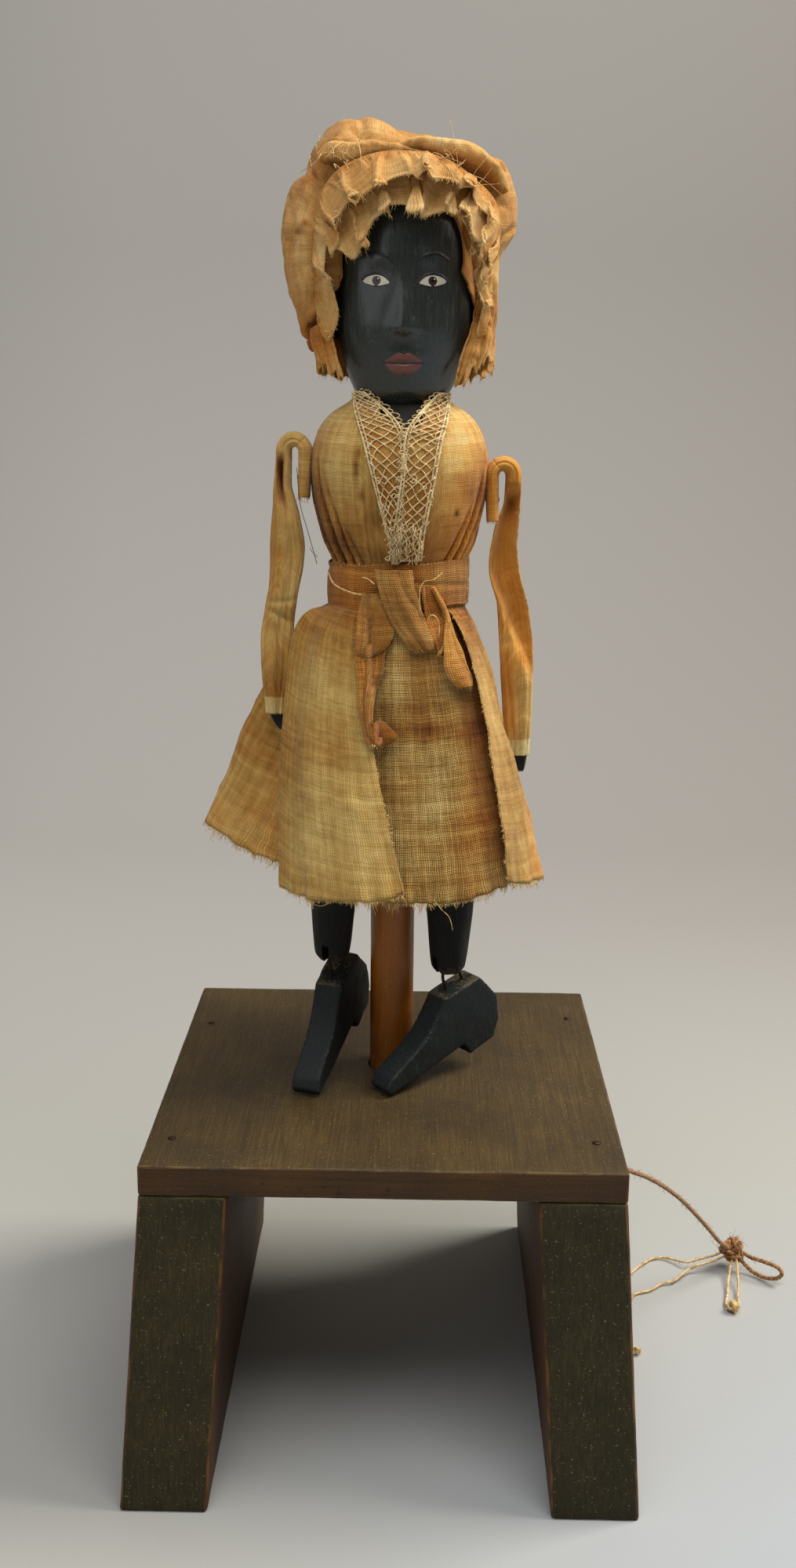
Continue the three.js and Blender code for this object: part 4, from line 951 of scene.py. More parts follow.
def head_point(x, height, stand_off):
    """A point on the front of the head at the sideways distance x from its middle."""
    radius = head_radius(height) + stand_off
    depth = math.sqrt(max(radius * radius - x * x, 0.01))
    radius += face_relief(x, height)
    scale = radius / (head_radius(height) + stand_off)
    return Vector((DOLL_X + head_lean(height) + x, BODY_Y - depth * scale, height))


def make_head():
    heights = [mix(NECK_FOOT, NECK_TOP, k / 14) for k in range(14)]
    heights += [mix(NECK_TOP, HEAD_TOP, math.sin(0.5 * math.pi * k / 150)) for k in range(151)]
    sides = 240
    made = []
    for height in heights:
        radius = head_radius(height)
        for k in range(sides):
            angle = 2 * math.pi * k / sides
            x, y = radius * math.cos(angle), radius * math.sin(angle)
            front = clamp(-y / max(radius, 0.1) * 1.6 - 0.1)
            out = face_relief(x, height) * front if height > 284 else 0
            ring = 0.06 * math.sin(height * 5.2) * bell(height - 276, 5)
            scale = (radius + out + ring) / max(radius, 0.01)
            made.append((DOLL_X + head_lean(height) + x, BODY_Y + y * scale, height))
    faces = grid_faces(sides, len(heights) - 1, around=True)
    faces.append(tuple(range(len(made) - sides, len(made))))
    wear = [0.12 * bell(p[2] - 318, 14) for p in made]
    dress(turned_out(add_mesh("carved_head", made, faces, marks={"edge": wear})), "doll",
          "dark_painted_wood", head_paint, "head")


def painted_shape(piece, material):
    """Turns a painted shape's faces to the front and dresses it."""
    if sum(p.normal.y * p.area for p in piece.data.polygons) > 0:
        piece.data.flip_normals()
    return dress(piece, "doll", "dark_painted_wood", material)


def decal(name, outline, material, lift, rings=5):
    """A thin painted shape on the face, from its outline of (across, height) points."""
    cx = sum(p[0] for p in outline) / len(outline)
    cz = sum(p[1] for p in outline) / len(outline)
    made = [head_point(cx, cz, lift)]
    for ring in range(1, rings + 1):
        w = ring / rings
        sink = lift if ring < rings else lift * 0.2
        for x, z in outline:
            made.append(head_point(mix(cx, x, w), mix(cz, z, w), sink))
    count = len(outline)
    faces = [(0, 1 + k, 1 + (k + 1) % count) for k in range(count)]
    for ring in range(rings - 1):
        for k in range(count):
            a, b = 1 + ring * count + k, 1 + ring * count + (k + 1) % count
            faces.append((a, a + count, b + count, b))
    return painted_shape(turned_out(add_mesh(name, made, faces)), material)


def lens_shape(cx, cz, half, rise, fall, tilt):
    """An almond: two arcs between its corners, tilted by a rise towards the outer one."""
    shape = []
    count = 36
    for k in range(count):
        t = 2 * math.pi * k / count
        across = math.cos(t)
        height = math.sin(t) * (rise if math.sin(t) > 0 else fall) * (1 - across * across) ** 0.12
        shape.append((cx + half * across, cz + height + tilt * across))
    return shape


def ring_shape(cx, cz, radius, half_count):
    turns = [k * math.pi / half_count for k in range(2 * half_count)]
    return [(cx + radius * math.cos(t), cz + radius * math.sin(t)) for t in turns]


def stroke(name, path, widths, material, lift):
    """A tapering painted line on the face."""
    rows = [(x, z, w) for (x, z), w in zip(path, widths)]
    fine = [between(rows, k / 28) for k in range(29)]
    made, faces = [], []
    for k, (x, z, w) in enumerate(fine):
        x0, z0, _ = fine[max(k - 1, 0)]
        x1, z1, _ = fine[min(k + 1, len(fine) - 1)]
        along = Vector((x1 - x0, z1 - z0)).normalized()
        for side in (-1, -0.5, 0.5, 1):
            sink = lift if abs(side) < 1 else lift * 0.2
            made.append(head_point(x - along.y * w * side, z + along.x * w * side, sink))
    for k in range(len(fine) - 1):
        for s in range(3):
            a = 4 * k + s
            faces.append((a, a + 1, a + 5, a + 4))
    return painted_shape(add_mesh(name, made, faces), material)


def paint(name, colour, worn, rough=0.4, wear=0.35):
    return painted_wood(name, colour, worn, worn, grain=(1.5, 1.5, 0.12), wear=wear, rough=rough)


def make_face():
    white = paint("eye_white", (206, 198, 176), (150, 140, 118))
    iris = paint("iris_brown", (58, 34, 22), (84, 56, 38), 0.25)
    dark = paint("pupil_dark", (14, 12, 12), (30, 26, 24), 0.2)
    glint = paint("eye_glint", (226, 224, 214), (200, 196, 186), 0.3)
    line = paint("line_dark", (16, 15, 16), (36, 34, 34))
    lip = paint("lip_rose", (112, 62, 54), (84, 58, 52), 0.38, 0.5)
    blush = paint("lid_shade", (54, 46, 46), (70, 64, 60))
    for side, sign in (("left", -1), ("right", 1)):
        cx, cz = sign * 7.2, 316.0
        decal(f"{side}_eye_lid", lens_shape(cx, cz + 0.35, 4.1, 2.6, 1.7, 0.25 * sign), blush, 0.03)
        decal(f"{side}_eye", lens_shape(cx, cz, 3.5, 1.75, 1.25, 0.2 * sign), white, 0.07)
        circle = [(x, min(z, cz + 1.5)) for x, z in ring_shape(cx, cz + 0.12, 1.42, 16)]
        decal(f"{side}_iris", circle, iris, 0.1, 3)
        decal(f"{side}_pupil", ring_shape(cx, cz + 0.15, 0.68, 12), dark, 0.13, 2)
        decal(f"{side}_glint", ring_shape(cx + 0.45, cz + 0.62, 0.26, 8), glint, 0.16, 2)
        stroke(f"{side}_upper_lid", [(cx - sign * 3.5, cz - 0.25), (cx - sign * 2.0, cz + 1.25),
                                     (cx, cz + 1.85), (cx + sign * 2.2, cz + 1.45),
                                     (cx + sign * 3.9, cz + 0.45)], [0.12, 0.3, 0.36, 0.32, 0.14], line, 0.17)
        stroke(f"{side}_lower_lid", [(cx - sign * 2.8, cz - 0.8), (cx, cz - 1.32),
                                     (cx + sign * 3.0, cz - 0.5)], [0.05, 0.12, 0.06], line, 0.12)
        stroke(f"{side}_brow", [(cx - sign * 4.3, 320.6), (cx - sign * 2, 322.1), (cx + sign * 1, 322.8),
                                (cx + sign * 4.6, 321.3)], [0.22, 0.48, 0.46, 0.12], line, 0.1)
        stroke(f"{side}_nostril", [(sign * 0.9, 303.0), (sign * 1.7, 303.35), (sign * 2.3, 303.1)],
               [0.12, 0.26, 0.1], line, 0.1)
    upper = [(-5.4, 295.9), (-3.4, 297.3), (-1.4, 298.35), (0, 297.9), (1.4, 298.35), (3.4, 297.3),
             (5.4, 295.9), (3.2, 296.05), (0, 295.85), (-3.2, 296.05)]
    lower = [(-4.9, 295.7), (-2.6, 295.75), (0, 295.6), (2.6, 295.75), (4.9, 295.7), (3.4, 294.0),
             (1.6, 293.1), (0, 292.95), (-1.6, 293.1), (-3.4, 294.0)]
    for name, shape in (("upper_lip", upper), ("lower_lip", lower)):
        closed = shape + shape[:1]
        fine = [between(closed, k / 60) for k in range(60)]
        decal(name, fine, lip, 0.07, 4)
    stroke("mouth_line", [(-5.5, 296.1), (-2.6, 295.8), (0, 295.95), (2.6, 295.8), (5.5, 296.1)],
           [0.1, 0.18, 0.16, 0.18, 0.1], line, 0.14)


make_head()
make_face()


# Cloth
def thread_field(name, roots, body, seed, slot="muslin", radius=0.085, reach=(0.5, 2.0), curl=0.5):
    """Loose yarn ends: roots are (point, outward direction, share of length) triples."""
    rng = random.Random(seed)
    made, faces = [], []
    fall = Vector((0, 0, -0.4))
    for point, out, share in roots:
        here = Vector(point)
        length = share * mix(reach[0], reach[1], rng.random() ** 2)
        way = Vector(out).normalized() + Vector([rng.uniform(-0.5, 0.5) for _ in range(3)])
        way.normalize()
        swing = Vector([rng.uniform(-curl, curl) for _ in range(3)])
        line = [here - way * 0.25]
        for k in range(1, 5):
            w = k / 4
            line.append(here + way * length * w + (swing + fall) * length * w * w * 0.6)
        add_tube(made, faces, line, radius * rng.uniform(0.7, 1.15), 4,
                 lambda a, t: clamp(1.15 - 0.4 * t / max(length, 0.1), 0.3, 1.15))
    return dress(add_mesh(name, made, faces), body, slot, cloth_thread)


def edge_roots(edge, per_mm, seed, share=1.0):
    """Roots of yarn ends spread unevenly along an edge, from its points and the directions out of it."""
    points, ways = edge
    rng = random.Random(seed)
    lengths = arc_lengths(points)
    roots, i = [], 0
    count = int(lengths[-1] * per_mm)
    for k in range(count):
        want = lengths[-1] * (k + rng.random()) / count
        i = max(0, min(len(points) - 2, i))
        while i < len(points) - 2 and lengths[i + 1] < want:
            i += 1
        step = max(lengths[i + 1] - lengths[i], 1e-6)
        w = clamp((want - lengths[i]) / step)
        clump = clamp(0.62 + 0.8 * wander(want, seed, 0, 3.5), 0.3, 1.3)
        roots.append((Vector(points[i]).lerp(Vector(points[i + 1]), w),
                      Vector(ways[i]).lerp(Vector(ways[i + 1]), w), share * clump))
    return roots


def buckled(rows, closed, hold, grow, steps, cap, clear, stiff):
    """A cloth a little too big for its place, after it has buckled in a simulation.

    It is simulated ten times as large as it is. cap limits how far a point moves, in millimetres.
    """
    size = 10 * MM
    across = len(rows[0]) - (1 if closed else 0)
    start = [row[i] for row in rows for i in range(across)]
    width, down = len(rows[0]) - 1, len(rows) - 1
    faces = grid_faces(width, down, around=closed)
    mesh = bpy.data.meshes.new("trial")
    mesh.from_pydata([p * size for p in start], [], faces)
    trial = bpy.data.objects.new("trial", mesh)
    bpy.context.scene.collection.objects.link(trial)
    held = trial.vertex_groups.new(name="held")
    for j in range(down + 1):
        for i in range(across):
            weight = hold(i / width, j / down)
            if weight > 0:
                held.add([j * across + i], weight, "REPLACE")
    change = trial.modifiers.new("cloth", "CLOTH")
    cloth = change.settings
    cloth.quality = 4
    cloth.mass = 0.12
    cloth.tension_stiffness = 12
    cloth.compression_stiffness = 12
    cloth.shear_stiffness = 4
    cloth.bending_stiffness = stiff
    cloth.air_damping = 4
    cloth.vertex_group_mass = "held"
    cloth.pin_stiffness = 1
    cloth.shrink_min = -grow
    cloth.effector_weights.gravity = 0
    change.collision_settings.use_collision = False
    change.point_cache.frame_start = 1
    change.point_cache.frame_end = steps
    scene = bpy.context.scene
    for step in range(1, steps + 1):
        scene.frame_set(step)
    seen = trial.evaluated_get(bpy.context.evaluated_depsgraph_get())
    found = np.zeros(3 * len(start), np.float32)
    seen.data.vertices.foreach_get("co", found)
    found = found.reshape(-1, 3) / size
    scene.frame_set(1)
    bpy.data.objects.remove(trial)
    bpy.data.meshes.remove(mesh)
    ended = []
    for before, after in zip(start, found):
        step = Vector(after) - before
        far = step.length
        moved = before + step * (cap * math.tanh(far / cap) / far if far > 1e-6 else 1)
        ended.append(clear(moved))
    made = []
    for j in range(down + 1):
        row = ended[j * across:(j + 1) * across]
        made.append(row + row[:1] if closed else row)
    return made


class Sheet:
    """A cloth grid: face(u, v) gives its points, and the age function, taking (point, u, v), their age with
    painted shade and painted light, and their warmth.
    """

    def __init__(self, name, face, across, down, age_shade_and_light, thickness=0.45, relax=None):
        self.name, self.across, self.down, self.thickness = name, across, down, thickness
        self.points = [
            [Vector(face(i / across, j / down)) for i in range(across + 1)] for j in range(down + 1)]
        if relax:
            self.points = buckled(self.points, **relax)
        marks = [[age_shade_and_light(self.points[j][i], i / across, j / down) for i in range(across + 1)]
                 for j in range(down + 1)]
        self.age_shade_and_light_rows = [[m[0] for m in row] for row in marks]
        self.warmths = [[m[1] for m in row] for row in marks]

    def normals(self):
        made = []
        for j in range(self.down + 1):
            row = []
            for i in range(self.across + 1):
                du = self.points[j][min(i + 1, self.across)] - self.points[j][max(i - 1, 0)]
                dv = self.points[min(j + 1, self.down)][i] - self.points[max(j - 1, 0)][i]
                row.append(du.cross(dv).normalized())
            made.append(row)
        return made

    def flat(self):
        """Flat coordinates in millimetres, kept in the middle of the sheet."""
        width = [0.0]
        middle = self.points[self.down // 2]
        for a, b in zip(middle, middle[1:]):
            width.append(width[-1] + (b - a).length)
        depth = [[0.0] * (self.across + 1)]
        for above, below in zip(self.points, self.points[1:]):
            depth.append([far + (b - a).length for far, a, b in zip(depth[-1], above, below)])
        return [list(zip(width, row)) for row in depth]

    def build(self):
        flat, points = sum(self.flat(), []), []
        pairs = list(zip(sum(self.points, []), sum(self.normals(), [])))
        for sign in (0.5, -0.5):
            points += [p + normal * sign * self.thickness for p, normal in pairs]
        marks = {"age_shade_and_light": sum(self.age_shade_and_light_rows, []) * 2, "warm": sum(self.warmths, []) * 2}
        layer = len(pairs)
        faces = grid_faces(self.across, self.down)
        faces += [tuple(layer + k for k in reversed(f)) for f in grid_faces(self.across, self.down)]
        rim = [(i, 0) for i in range(self.across)] + [(self.across, j) for j in range(self.down)]
        rim += [(i, self.down) for i in range(self.across, 0, -1)]
        rim += [(0, j) for j in range(self.down, 0, -1)]
        spots = [j * (self.across + 1) + i for i, j in rim]
        for a, b in zip(spots, spots[1:] + spots[:1]):
            faces.append((b, a, layer + a, layer + b))
        return turned_out(add_mesh(self.name, points, faces, flat * 2, marks))

    def size(self):
        """Mean width and length of the cloth laid flat, in metres."""
        rows = [arc_lengths(row)[-1] for row in self.points]
        area = 0.0
        for j in range(self.down):
            for i in range(self.across):
                a, b = self.points[j][i], self.points[j][i + 1]
                c, d = self.points[j + 1][i + 1], self.points[j + 1][i]
                area += 0.5 * ((b - a).cross(c - a).length + (c - a).cross(d - a).length)
        width = sum(rows) / len(rows)
        return width * MM, area / width * MM

    def edge(self, which):
        """Points along one edge and the directions out of it: hem, top, start or end."""
        lines = list(zip(*self.points)) if which in ("start", "end") else self.points
        rim, inside = (lines[-1], lines[-3]) if which in ("hem", "end") else (lines[0], lines[2])
        return list(rim), [(a - b).normalized() for a, b in zip(rim, inside)]


# shortest side, in metres, of the flat size worked out for a sheet
SMALLEST_SIDE = 0.0102


def declare_sheet(sheet):
    """Works out a sheet's flat size. A narrow one keeps its area on sides of the shortest length."""
    width, length = sheet.size()
    if length < SMALLEST_SIDE:
        width, length = width * length / SMALLEST_SIDE, SMALLEST_SIDE
    if width < SMALLEST_SIDE:
        width, length = SMALLEST_SIDE, max(width * length / SMALLEST_SIDE, SMALLEST_SIDE)


# depth of the dressed body as a share of its width
DEPTH = 0.82
BUST_ROUND = 24.0
NECK_LINE = 286.9
BODICE_END = 237.7
SKIRT_TOP = 237.3
BELT_BOTTOM = 231.6
BELT_TOP = 243.6
FLARE_TOP = 231.3
BODY_ROWS = [
    (13, 286.9), (19, 282.7), (22.2, 278.4), (24.2, 271.5), (24, 263.5), (22.4, 255), (20.6, 249),
    (18.4, 243.8), (18.3, 237.6),
]


def body_radius(height):
    return table_at(BODY_ROWS, height)


PLEATS = [
    # distance round from the front at the top and at the belt, height of the top, and depth
    (-29, -21.0, 275, 1.5), (-23.5, -16.5, 268, 1.3), (-18.5, -12.5, 256, 0.8),
    (31, 21.5, 274, 1.5), (25.5, 17.0, 262, 1.2), (37, 25, 268, 1.0),
    (-36, -27, 268, 1.0), (46, 31, 264, 0.8), (-57, -42, 266, 0.8), (59, 43, 266, 0.8),
    (9, 6.5, 250, 0.3), (-7, -5, 251, 0.3),
]


def crease_at(around, height):
    """Relief of the tucks that run down to the belt, and the painted shade in their depths."""
    out, dark = 0.0, 0.0
    for top_at, foot_at, top, depth in PLEATS:
        fall = clamp((top - height) / (top - 241))
        if fall <= 0:
            continue
        at = mix(top_at, foot_at, fall ** 0.9) + 0.5 * wander(height, top_at, 0, 9)
        side = 1 if top_at > 0 else -1
        d = (around - at) * side
        out += depth * fall ** 0.7 * (-bell(d + 0.4, 0.6) + 0.85 * bell(d - 1.0, 1.2))
        dark += depth * fall ** 0.6 * bell(d + 0.4, 0.7)
    return out, dark


def body_point(around, height, stand_off):
    """A point on the dressed bust: around is the distance from the front at full width."""
    angle = around / BUST_ROUND
    reach = body_radius(height) + stand_off + crease_at(around, height)[0]
    reach += 0.22 * crumple(around, height, 5, 9) * ease(286, 280, height)
    return Vector((DOLL_X + reach * math.sin(angle), BODY_Y - reach * DEPTH * math.cos(angle), height))


def spots_age(p, spots):
    """Soft stains: (x, height, width, height spread, strength)."""
    total = 0.0
    for x, z, wide, tall, strength in spots:
        total += strength * math.exp(-((p[0] - x) / wide) ** 2 - ((p[2] - z) / tall) ** 2)
    return total


BODICE_STAINS = [
    (-9.5, 269, 0.9, 3.0, 0.5), (-8.8, 273, 0.7, 1.6, 0.35), (-8.0, 262, 1.0, 1.4, 0.3),
    (17.0, 257.5, 0.6, 0.9, 0.7), (18.0, 267, 4, 2, 0.2), (-14, 250, 9, 5, 0.24), (15, 252, 10, 7, 0.3),
    (24, 264, 5, 12, 0.3), (-24, 256, 5, 12, 0.35), (-2, 246, 12, 2.5, 0.18), (5, 262, 9, 5, 0.08),
    (-4, 256, 4, 3, 0.2), (20, 262, 2.0, 3.5, 0.2),
]


def neckline(x):
    """Height of the bodice's open neck at a distance across from its middle."""
    rows = ((0.0, 270.0), (3.4, 277.5), (7.0, 284.0), (9.2, NECK_LINE))
    for (x0, z0), (x1, z1) in zip(rows, rows[1:]):
        if x0 <= x <= x1:
            return mix(z0, z1, (x - x0) / (x1 - x0))
    return NECK_LINE


def make_bodice():
    def place(u, v):
        around = mix(-math.pi, math.pi, u) * BUST_ROUND
        x = abs(BUST_ROUND * math.sin(around / BUST_ROUND) * 0.85 - 0.8)
        top = neckline(x) if abs(around) < 30 else NECK_LINE
        return around, mix(top, BODICE_END, v)

    def face(u, v):
        return body_point(*place(u, v), -0.25)

    def age_shade_and_light(p, u, v):
        # dark is painted shade in the depths of the tucks
        dark = crease_at(*place(u, v))[1]
        paler = 0.14 * bell(p[0] + 14, 12) * bell(p[2] - 276, 9)
        low = ease(274, 246, p[2])
        edge = 0.15 * clamp(abs(p[0] - DOLL_X) / 24 - 0.7) / 0.3
        lit = ease(4, 20, p[0])
        # the left of the bust is painted a little darker, as painted shade, and lit makes the right paler and
        # warmer, as painted light
        tone = 0.36 + 0.07 * ease(2, -8, p[0]) + 0.06 * low + spots_age(p, BODICE_STAINS) - paler
        return tone + 0.34 * dark + edge - 0.22 * lit, 0.06 + 0.3 * low + 0.4 * lit + 0.3 * dark + edge

    sheet = Sheet("bodice_cloth", face, 320, 100, age_shade_and_light, 0.4)
    piece = dress(sheet.build(), "doll", "muslin", muslin, "bodice")
    declare_sheet(sheet)


make_bodice()


# Lace collar
COLLAR_ROWS = {
    # outer and inner edge across from the middle, and height, from the neck down to the belt
    "left": [(-12.8, -9.6, 288.6), (-12.2, -5.4, 285.5), (-11.1, -1.0, 281.5), (-9.4, 1.4, 276.5),
             (-7.2, 1.5, 268.5), (-5.0, 1.3, 260), (-2.8, 0.9, 252), (-1.4, 0.6, 245.6)],
    "right": [(13.4, 10.4, 288.4), (13.1, 6.6, 284.6), (12.3, 2.8, 280.0), (11.2, 1.6, 276), (9.8, 0.9, 268),
              (8.3, 0.0, 260), (6.9, -1.2, 252), (6.2, -2.2, 245)],
}


def lace_point(side, u, v, lift):
    outer, inner, height = between(COLLAR_ROWS[side], v)
    x = mix(outer, inner, u)
    radius = max(body_radius(min(height, 286.5)), abs(x) + 0.6) + lift
    return Vector((DOLL_X + x, BODY_Y - DEPTH * math.sqrt(max(radius * radius - x * x, 0)), height))


def make_lace(name, side, lift, seed):
    """Bobbin lace: wavering threads both ways between two edge cords, with looped picots."""
    rng = random.Random(seed)
    made, faces = [], []

    def thread(points, radius, sides=5):
        add_tube(made, faces, points, radius, sides)

    def run(u0, v0, u1, v1, radius, sway, steps):
        phase = rng.uniform(0, 6)
        line = []
        for k in range(steps + 1):
            w = k / steps
            bend = sway * math.sin(phase + w * 9 + rng.uniform(-0.3, 0.3))
            raise_it = 0.22 + 0.2 * math.sin(phase + w * 21)
            line.append(lace_point(side, clamp(mix(u0, u1, w) + bend), clamp(mix(v0, v1, w) + bend * 0.12),
                                   lift + raise_it))
        thread(line, radius)

    for k in range(22):
        v = k / 19 - 0.15 + rng.uniform(-0.004, 0.004)
        rise = rng.uniform(0.14, 0.17)
        run(0.0, v, 1.0, v + rise, rng.uniform(0.15, 0.2), 0.035, 12)
        run(1.0, v, 0.0, v + rise, rng.uniform(0.15, 0.2), 0.035, 12)
    for k in range(24):
        u, v = rng.random(), rng.random() ** 0.8
        centre = lace_point(side, u, v, lift + 0.35)
        near = lace_point(side, clamp(u + 0.05), v, lift + 0.35)
        level = (near - centre).normalized() if (near - centre).length > 0.01 else Vector((1, 0, 0))
        size, turn = rng.uniform(0.6, 1.0), rng.uniform(0, 6)
        ring = [centre + level * size * math.cos(turn + t) + Vector((0, -0.25, 0)) * math.sin(2 * t)
                + Vector((0, 0, size * 1.2 * math.sin(turn + t))) for t in [0.5 * q for q in range(11)]]
        thread(ring, 0.13, 4)
    for u, radius in ((0.0, 0.27), (1.0, 0.3), (0.09, 0.2), (0.91, 0.18)):
        run(u, 0.0, u, 1.0, radius, 0.004, 70)
    for k in range(26):
        v = (k + 0.5) / 26
        here = lace_point(side, 1.0, v, lift + 0.3)
        off = lace_point(side, 0.9, v, lift + 0.3)
        out = (here - off).normalized()
        size = rng.uniform(0.7, 1.5) * (1.0 if v < 0.42 else 0.6)
        line = []
        for q in range(7):
            t = math.pi * q / 6
            line.append(here + out * size * 1.5 * math.sin(t) + Vector((0, -0.1, size * 0.55 * math.cos(t))))
        thread(line, 0.16, 4)
    for k in range(46):
        u, v = rng.random(), rng.uniform(0.8, 0.98)
        here = lace_point(side, u, v, lift + 0.3)
        drop = rng.uniform(1.5, 4.0)
        sway = Vector((rng.uniform(-0.5, 0.5), 0, 0))
        fringe = [here, here + Vector((0, -0.4, -0.35 * drop)) + sway,
                  here + Vector((0, -0.5, -0.7 * drop)) - sway, here + Vector((0, -0.2, -drop)) + sway]
        fringe = [Vector((p.x, p.y, max(p.z, BELT_TOP + 0.5))) for p in fringe]
        thread(fringe, 0.13, 4)
    for _ in range(40):
        u, v = rng.choice((0.0, 1.0, 1.0)), rng.random() ** 0.6
        here = lace_point(side, u, v, lift + 0.35)
        way = Vector((rng.uniform(-1, 1), rng.uniform(-0.7, -0.1), rng.uniform(-1, 1))).normalized()
        bend = Vector((rng.uniform(-1, 1), rng.uniform(-0.4, 0.1), rng.uniform(-1, 1)))
        size = rng.uniform(0.6, 1.8)
        thread([here, here + way * size * 0.5, here + way * size * 0.8 + bend * size * 0.35], 0.09, 3)
    return dress(add_mesh(name, made, faces), "doll", "lace", lace_thread)


def make_collar():
    for name, lift in (("left", 0.5), ("right", 1.05)):
        threads = make_lace(f"lace_threads_{name}", name, lift, 21 + len(name))

        def face(u, v, name=name, lift=lift):
            share = mix(0.42, 0.98, ease(0.16, 0.34, v))
            waver = -0.05 * wander(u * 9, v * 40, 2, 1)
            return lace_point(name, u * share, v, lift - 0.3) + Vector((0, waver, 0))

        def age_shade_and_light(p, u, v):
            low = ease(276, 250, p[2])
            return 0.46 + 0.1 * low, 0.4 + 0.3 * low

        sheet = Sheet(f"lace_ground_{name}", face, 16, 90, age_shade_and_light, 0.16)
        ground = dress(sheet.build(), "doll", "lace", muslin, f"collar_{name}")
        declare_sheet(sheet)


make_collar()


# Skirt
WRAP_ROWS = [
    # degrees round at the waist and at the hem, radius of the hem, drop, and how early it flares
    (-116, -85.5, 36.1, 78.8, 0.55), (-122, -97, 37.3, 80.8, 0.5), (-130, -110, 38.2, 81.2, 0.42),
    (-141, -124, 38.6, 82.2, 0.34), (-151, -135, 38.2, 81.8, 0.28), (-159, -145, 38.3, 80.4, 0.26),
    (-165, -155, 30.5, 79, 0.85), (-171, -163, 34, 78.3, 0.9), (-178, -171, 39.5, 77.3, 1.5),
    (-184, -180, 46.4, 75.6, 1.5), (-188, -188, 56.4, 70.8, 0.71), (-202, -202, 52, 73.3, 0.7),
    (-216, -216, 43, 76.3, 0.8), (-230, -231, 37, 77.8, 0.85), (-246, -247, 46, 79.3, 0.75),
    (-262, -264, 37, 79.3, 0.85), (-280, -282, 45, 79.3, 0.75), (-298, -299, 36.5, 79.3, 0.85),
    (-316, -317, 45, 79.3, 0.75), (-333, -334, 37.5, 79.3, 0.8), (-346, -347, 43, 79.3, 0.8),
    (-359, -359, 35.5, 79.3, 1), (-368, -369, 36, 80.3, 1), (-376, -376, 43.6, 80.8, 0.84),
    (-394, -394.5, 42.6, 79.1, 0.66), (-405, -402.7, 42.8, 77.3, 0.54),
]
PANEL_ROWS = [
    (-128, -124, 31, 81.8, 0.7), (-114, -109, 32.5, 82.3, 0.7), (-102, -96, 31.5, 82.7, 0.75),
    (-90, -84, 32.4, 82.7, 0.7), (-78, -73, 33.6, 82.7, 0.72), (-66, -61, 35.8, 82.4, 0.7),
    (-54, -49, 38.2, 80.8, 0.7), (-44, -38, 39.0, 79.8, 0.7), (-33, -26, 39.6, 79.2, 0.7),
]


def skirt_point(row, height, top_radius, push=0.0):
    waist, hem, radius, drop, power = row
    fall = max(0.0, (FLARE_TOP - height) / (FLARE_TOP - SKIRT_TOP + drop))
    spread = fall ** power
    angle = math.radians(mix(waist, hem, fall))
    reach = mix(top_radius, radius, spread) + push
    flatten = mix(DEPTH, 1, spread)
    return Vector((DOLL_X + reach * math.cos(angle), BODY_Y + reach * math.sin(angle) * flatten, height))


def skirt_face(rows, top_radius, gathers, seed, wrinkle):
    def face(u, v):
        row = between(rows, u)
        share = 0.08
        hang = (v - share) / (1 - share)
        hem = SKIRT_TOP - row[3]
        if v < share:
            height = mix(SKIRT_TOP, FLARE_TOP, v / share)
        else:
            height = mix(FLARE_TOP, hem, hang * (0.55 + 0.45 * hang))
        fall = clamp((FLARE_TOP - height) / (FLARE_TOP - hem))
        turn = u * len(rows)
        pull = math.sin(gathers * turn + 2.4 * wander(turn, seed, 0, 0.9))
        uneven = 0.6 + 0.8 * wander(turn, seed + 4, 1, 1.6)
        push = 0.6 * pull * (1 - fall) ** 8 * ease(0.0, 0.03, fall) * uneven
        slow = math.sin(0.37 * gathers * turn + 1.7 + wander(turn, seed, 6, 2))
        push += 0.6 * slow * (1 - fall) ** 2 * ease(0, 0.1, fall)
        p = skirt_point(row, height, top_radius)
        push += wrinkle * crumple(p.x + seed, p.y, p.z * 0.6, 13) * ease(0, 0.25, fall)
        push += 0.25 * wrinkle * crumple(p.x, p.y + seed, p.z, 4, 2) * ease(0.1, 0.5, fall)
        push += 0.35 * math.sin(turn * 7.3 + seed) * ease(0.8, 1.0, fall)
        made = skirt_point(row, height, top_radius, push)
        made.z += 0.4 * math.sin(turn * 11 + seed) * ease(0.9, 1.0, fall) * wander(turn, seed, 3, 1)
        return made
    return face


SKIRT_STAINS = [
    (-30, 200, 10, 24, 0.12), (36, 196, 8, 30, 0.16), (24, 222, 9, 9, 0.2), (-18, 226, 8, 8, 0.2),
    (-50, 168, 8, 6, -0.12), (-12, 170, 12, 8, -0.1), (38, 162, 6, 8, 0.1),
]


def skirt_age_shade_and_light(p, u, v):
    folds = 0.04 * math.sin(p[0] * 0.4)
    right = ease(10, 30, p[0]) * clamp(1 - v)
    left = ease(-26, -34, p[0])
    # the far right of the skirt is painted paler and warmer: painted light from the lamp at the right
    painted_light_right = ease(34, 42, p[0])
    tone = 0.42 + 0.16 * ease(216, 236, p[2]) + spots_age(p, SKIRT_STAINS) + folds
    return (tone + 0.06 * left - 0.12 * painted_light_right,
            0.02 + 0.45 * ease(212, 236, p[2]) + 0.35 * right + 0.4 * left + 0.6 * painted_light_right)


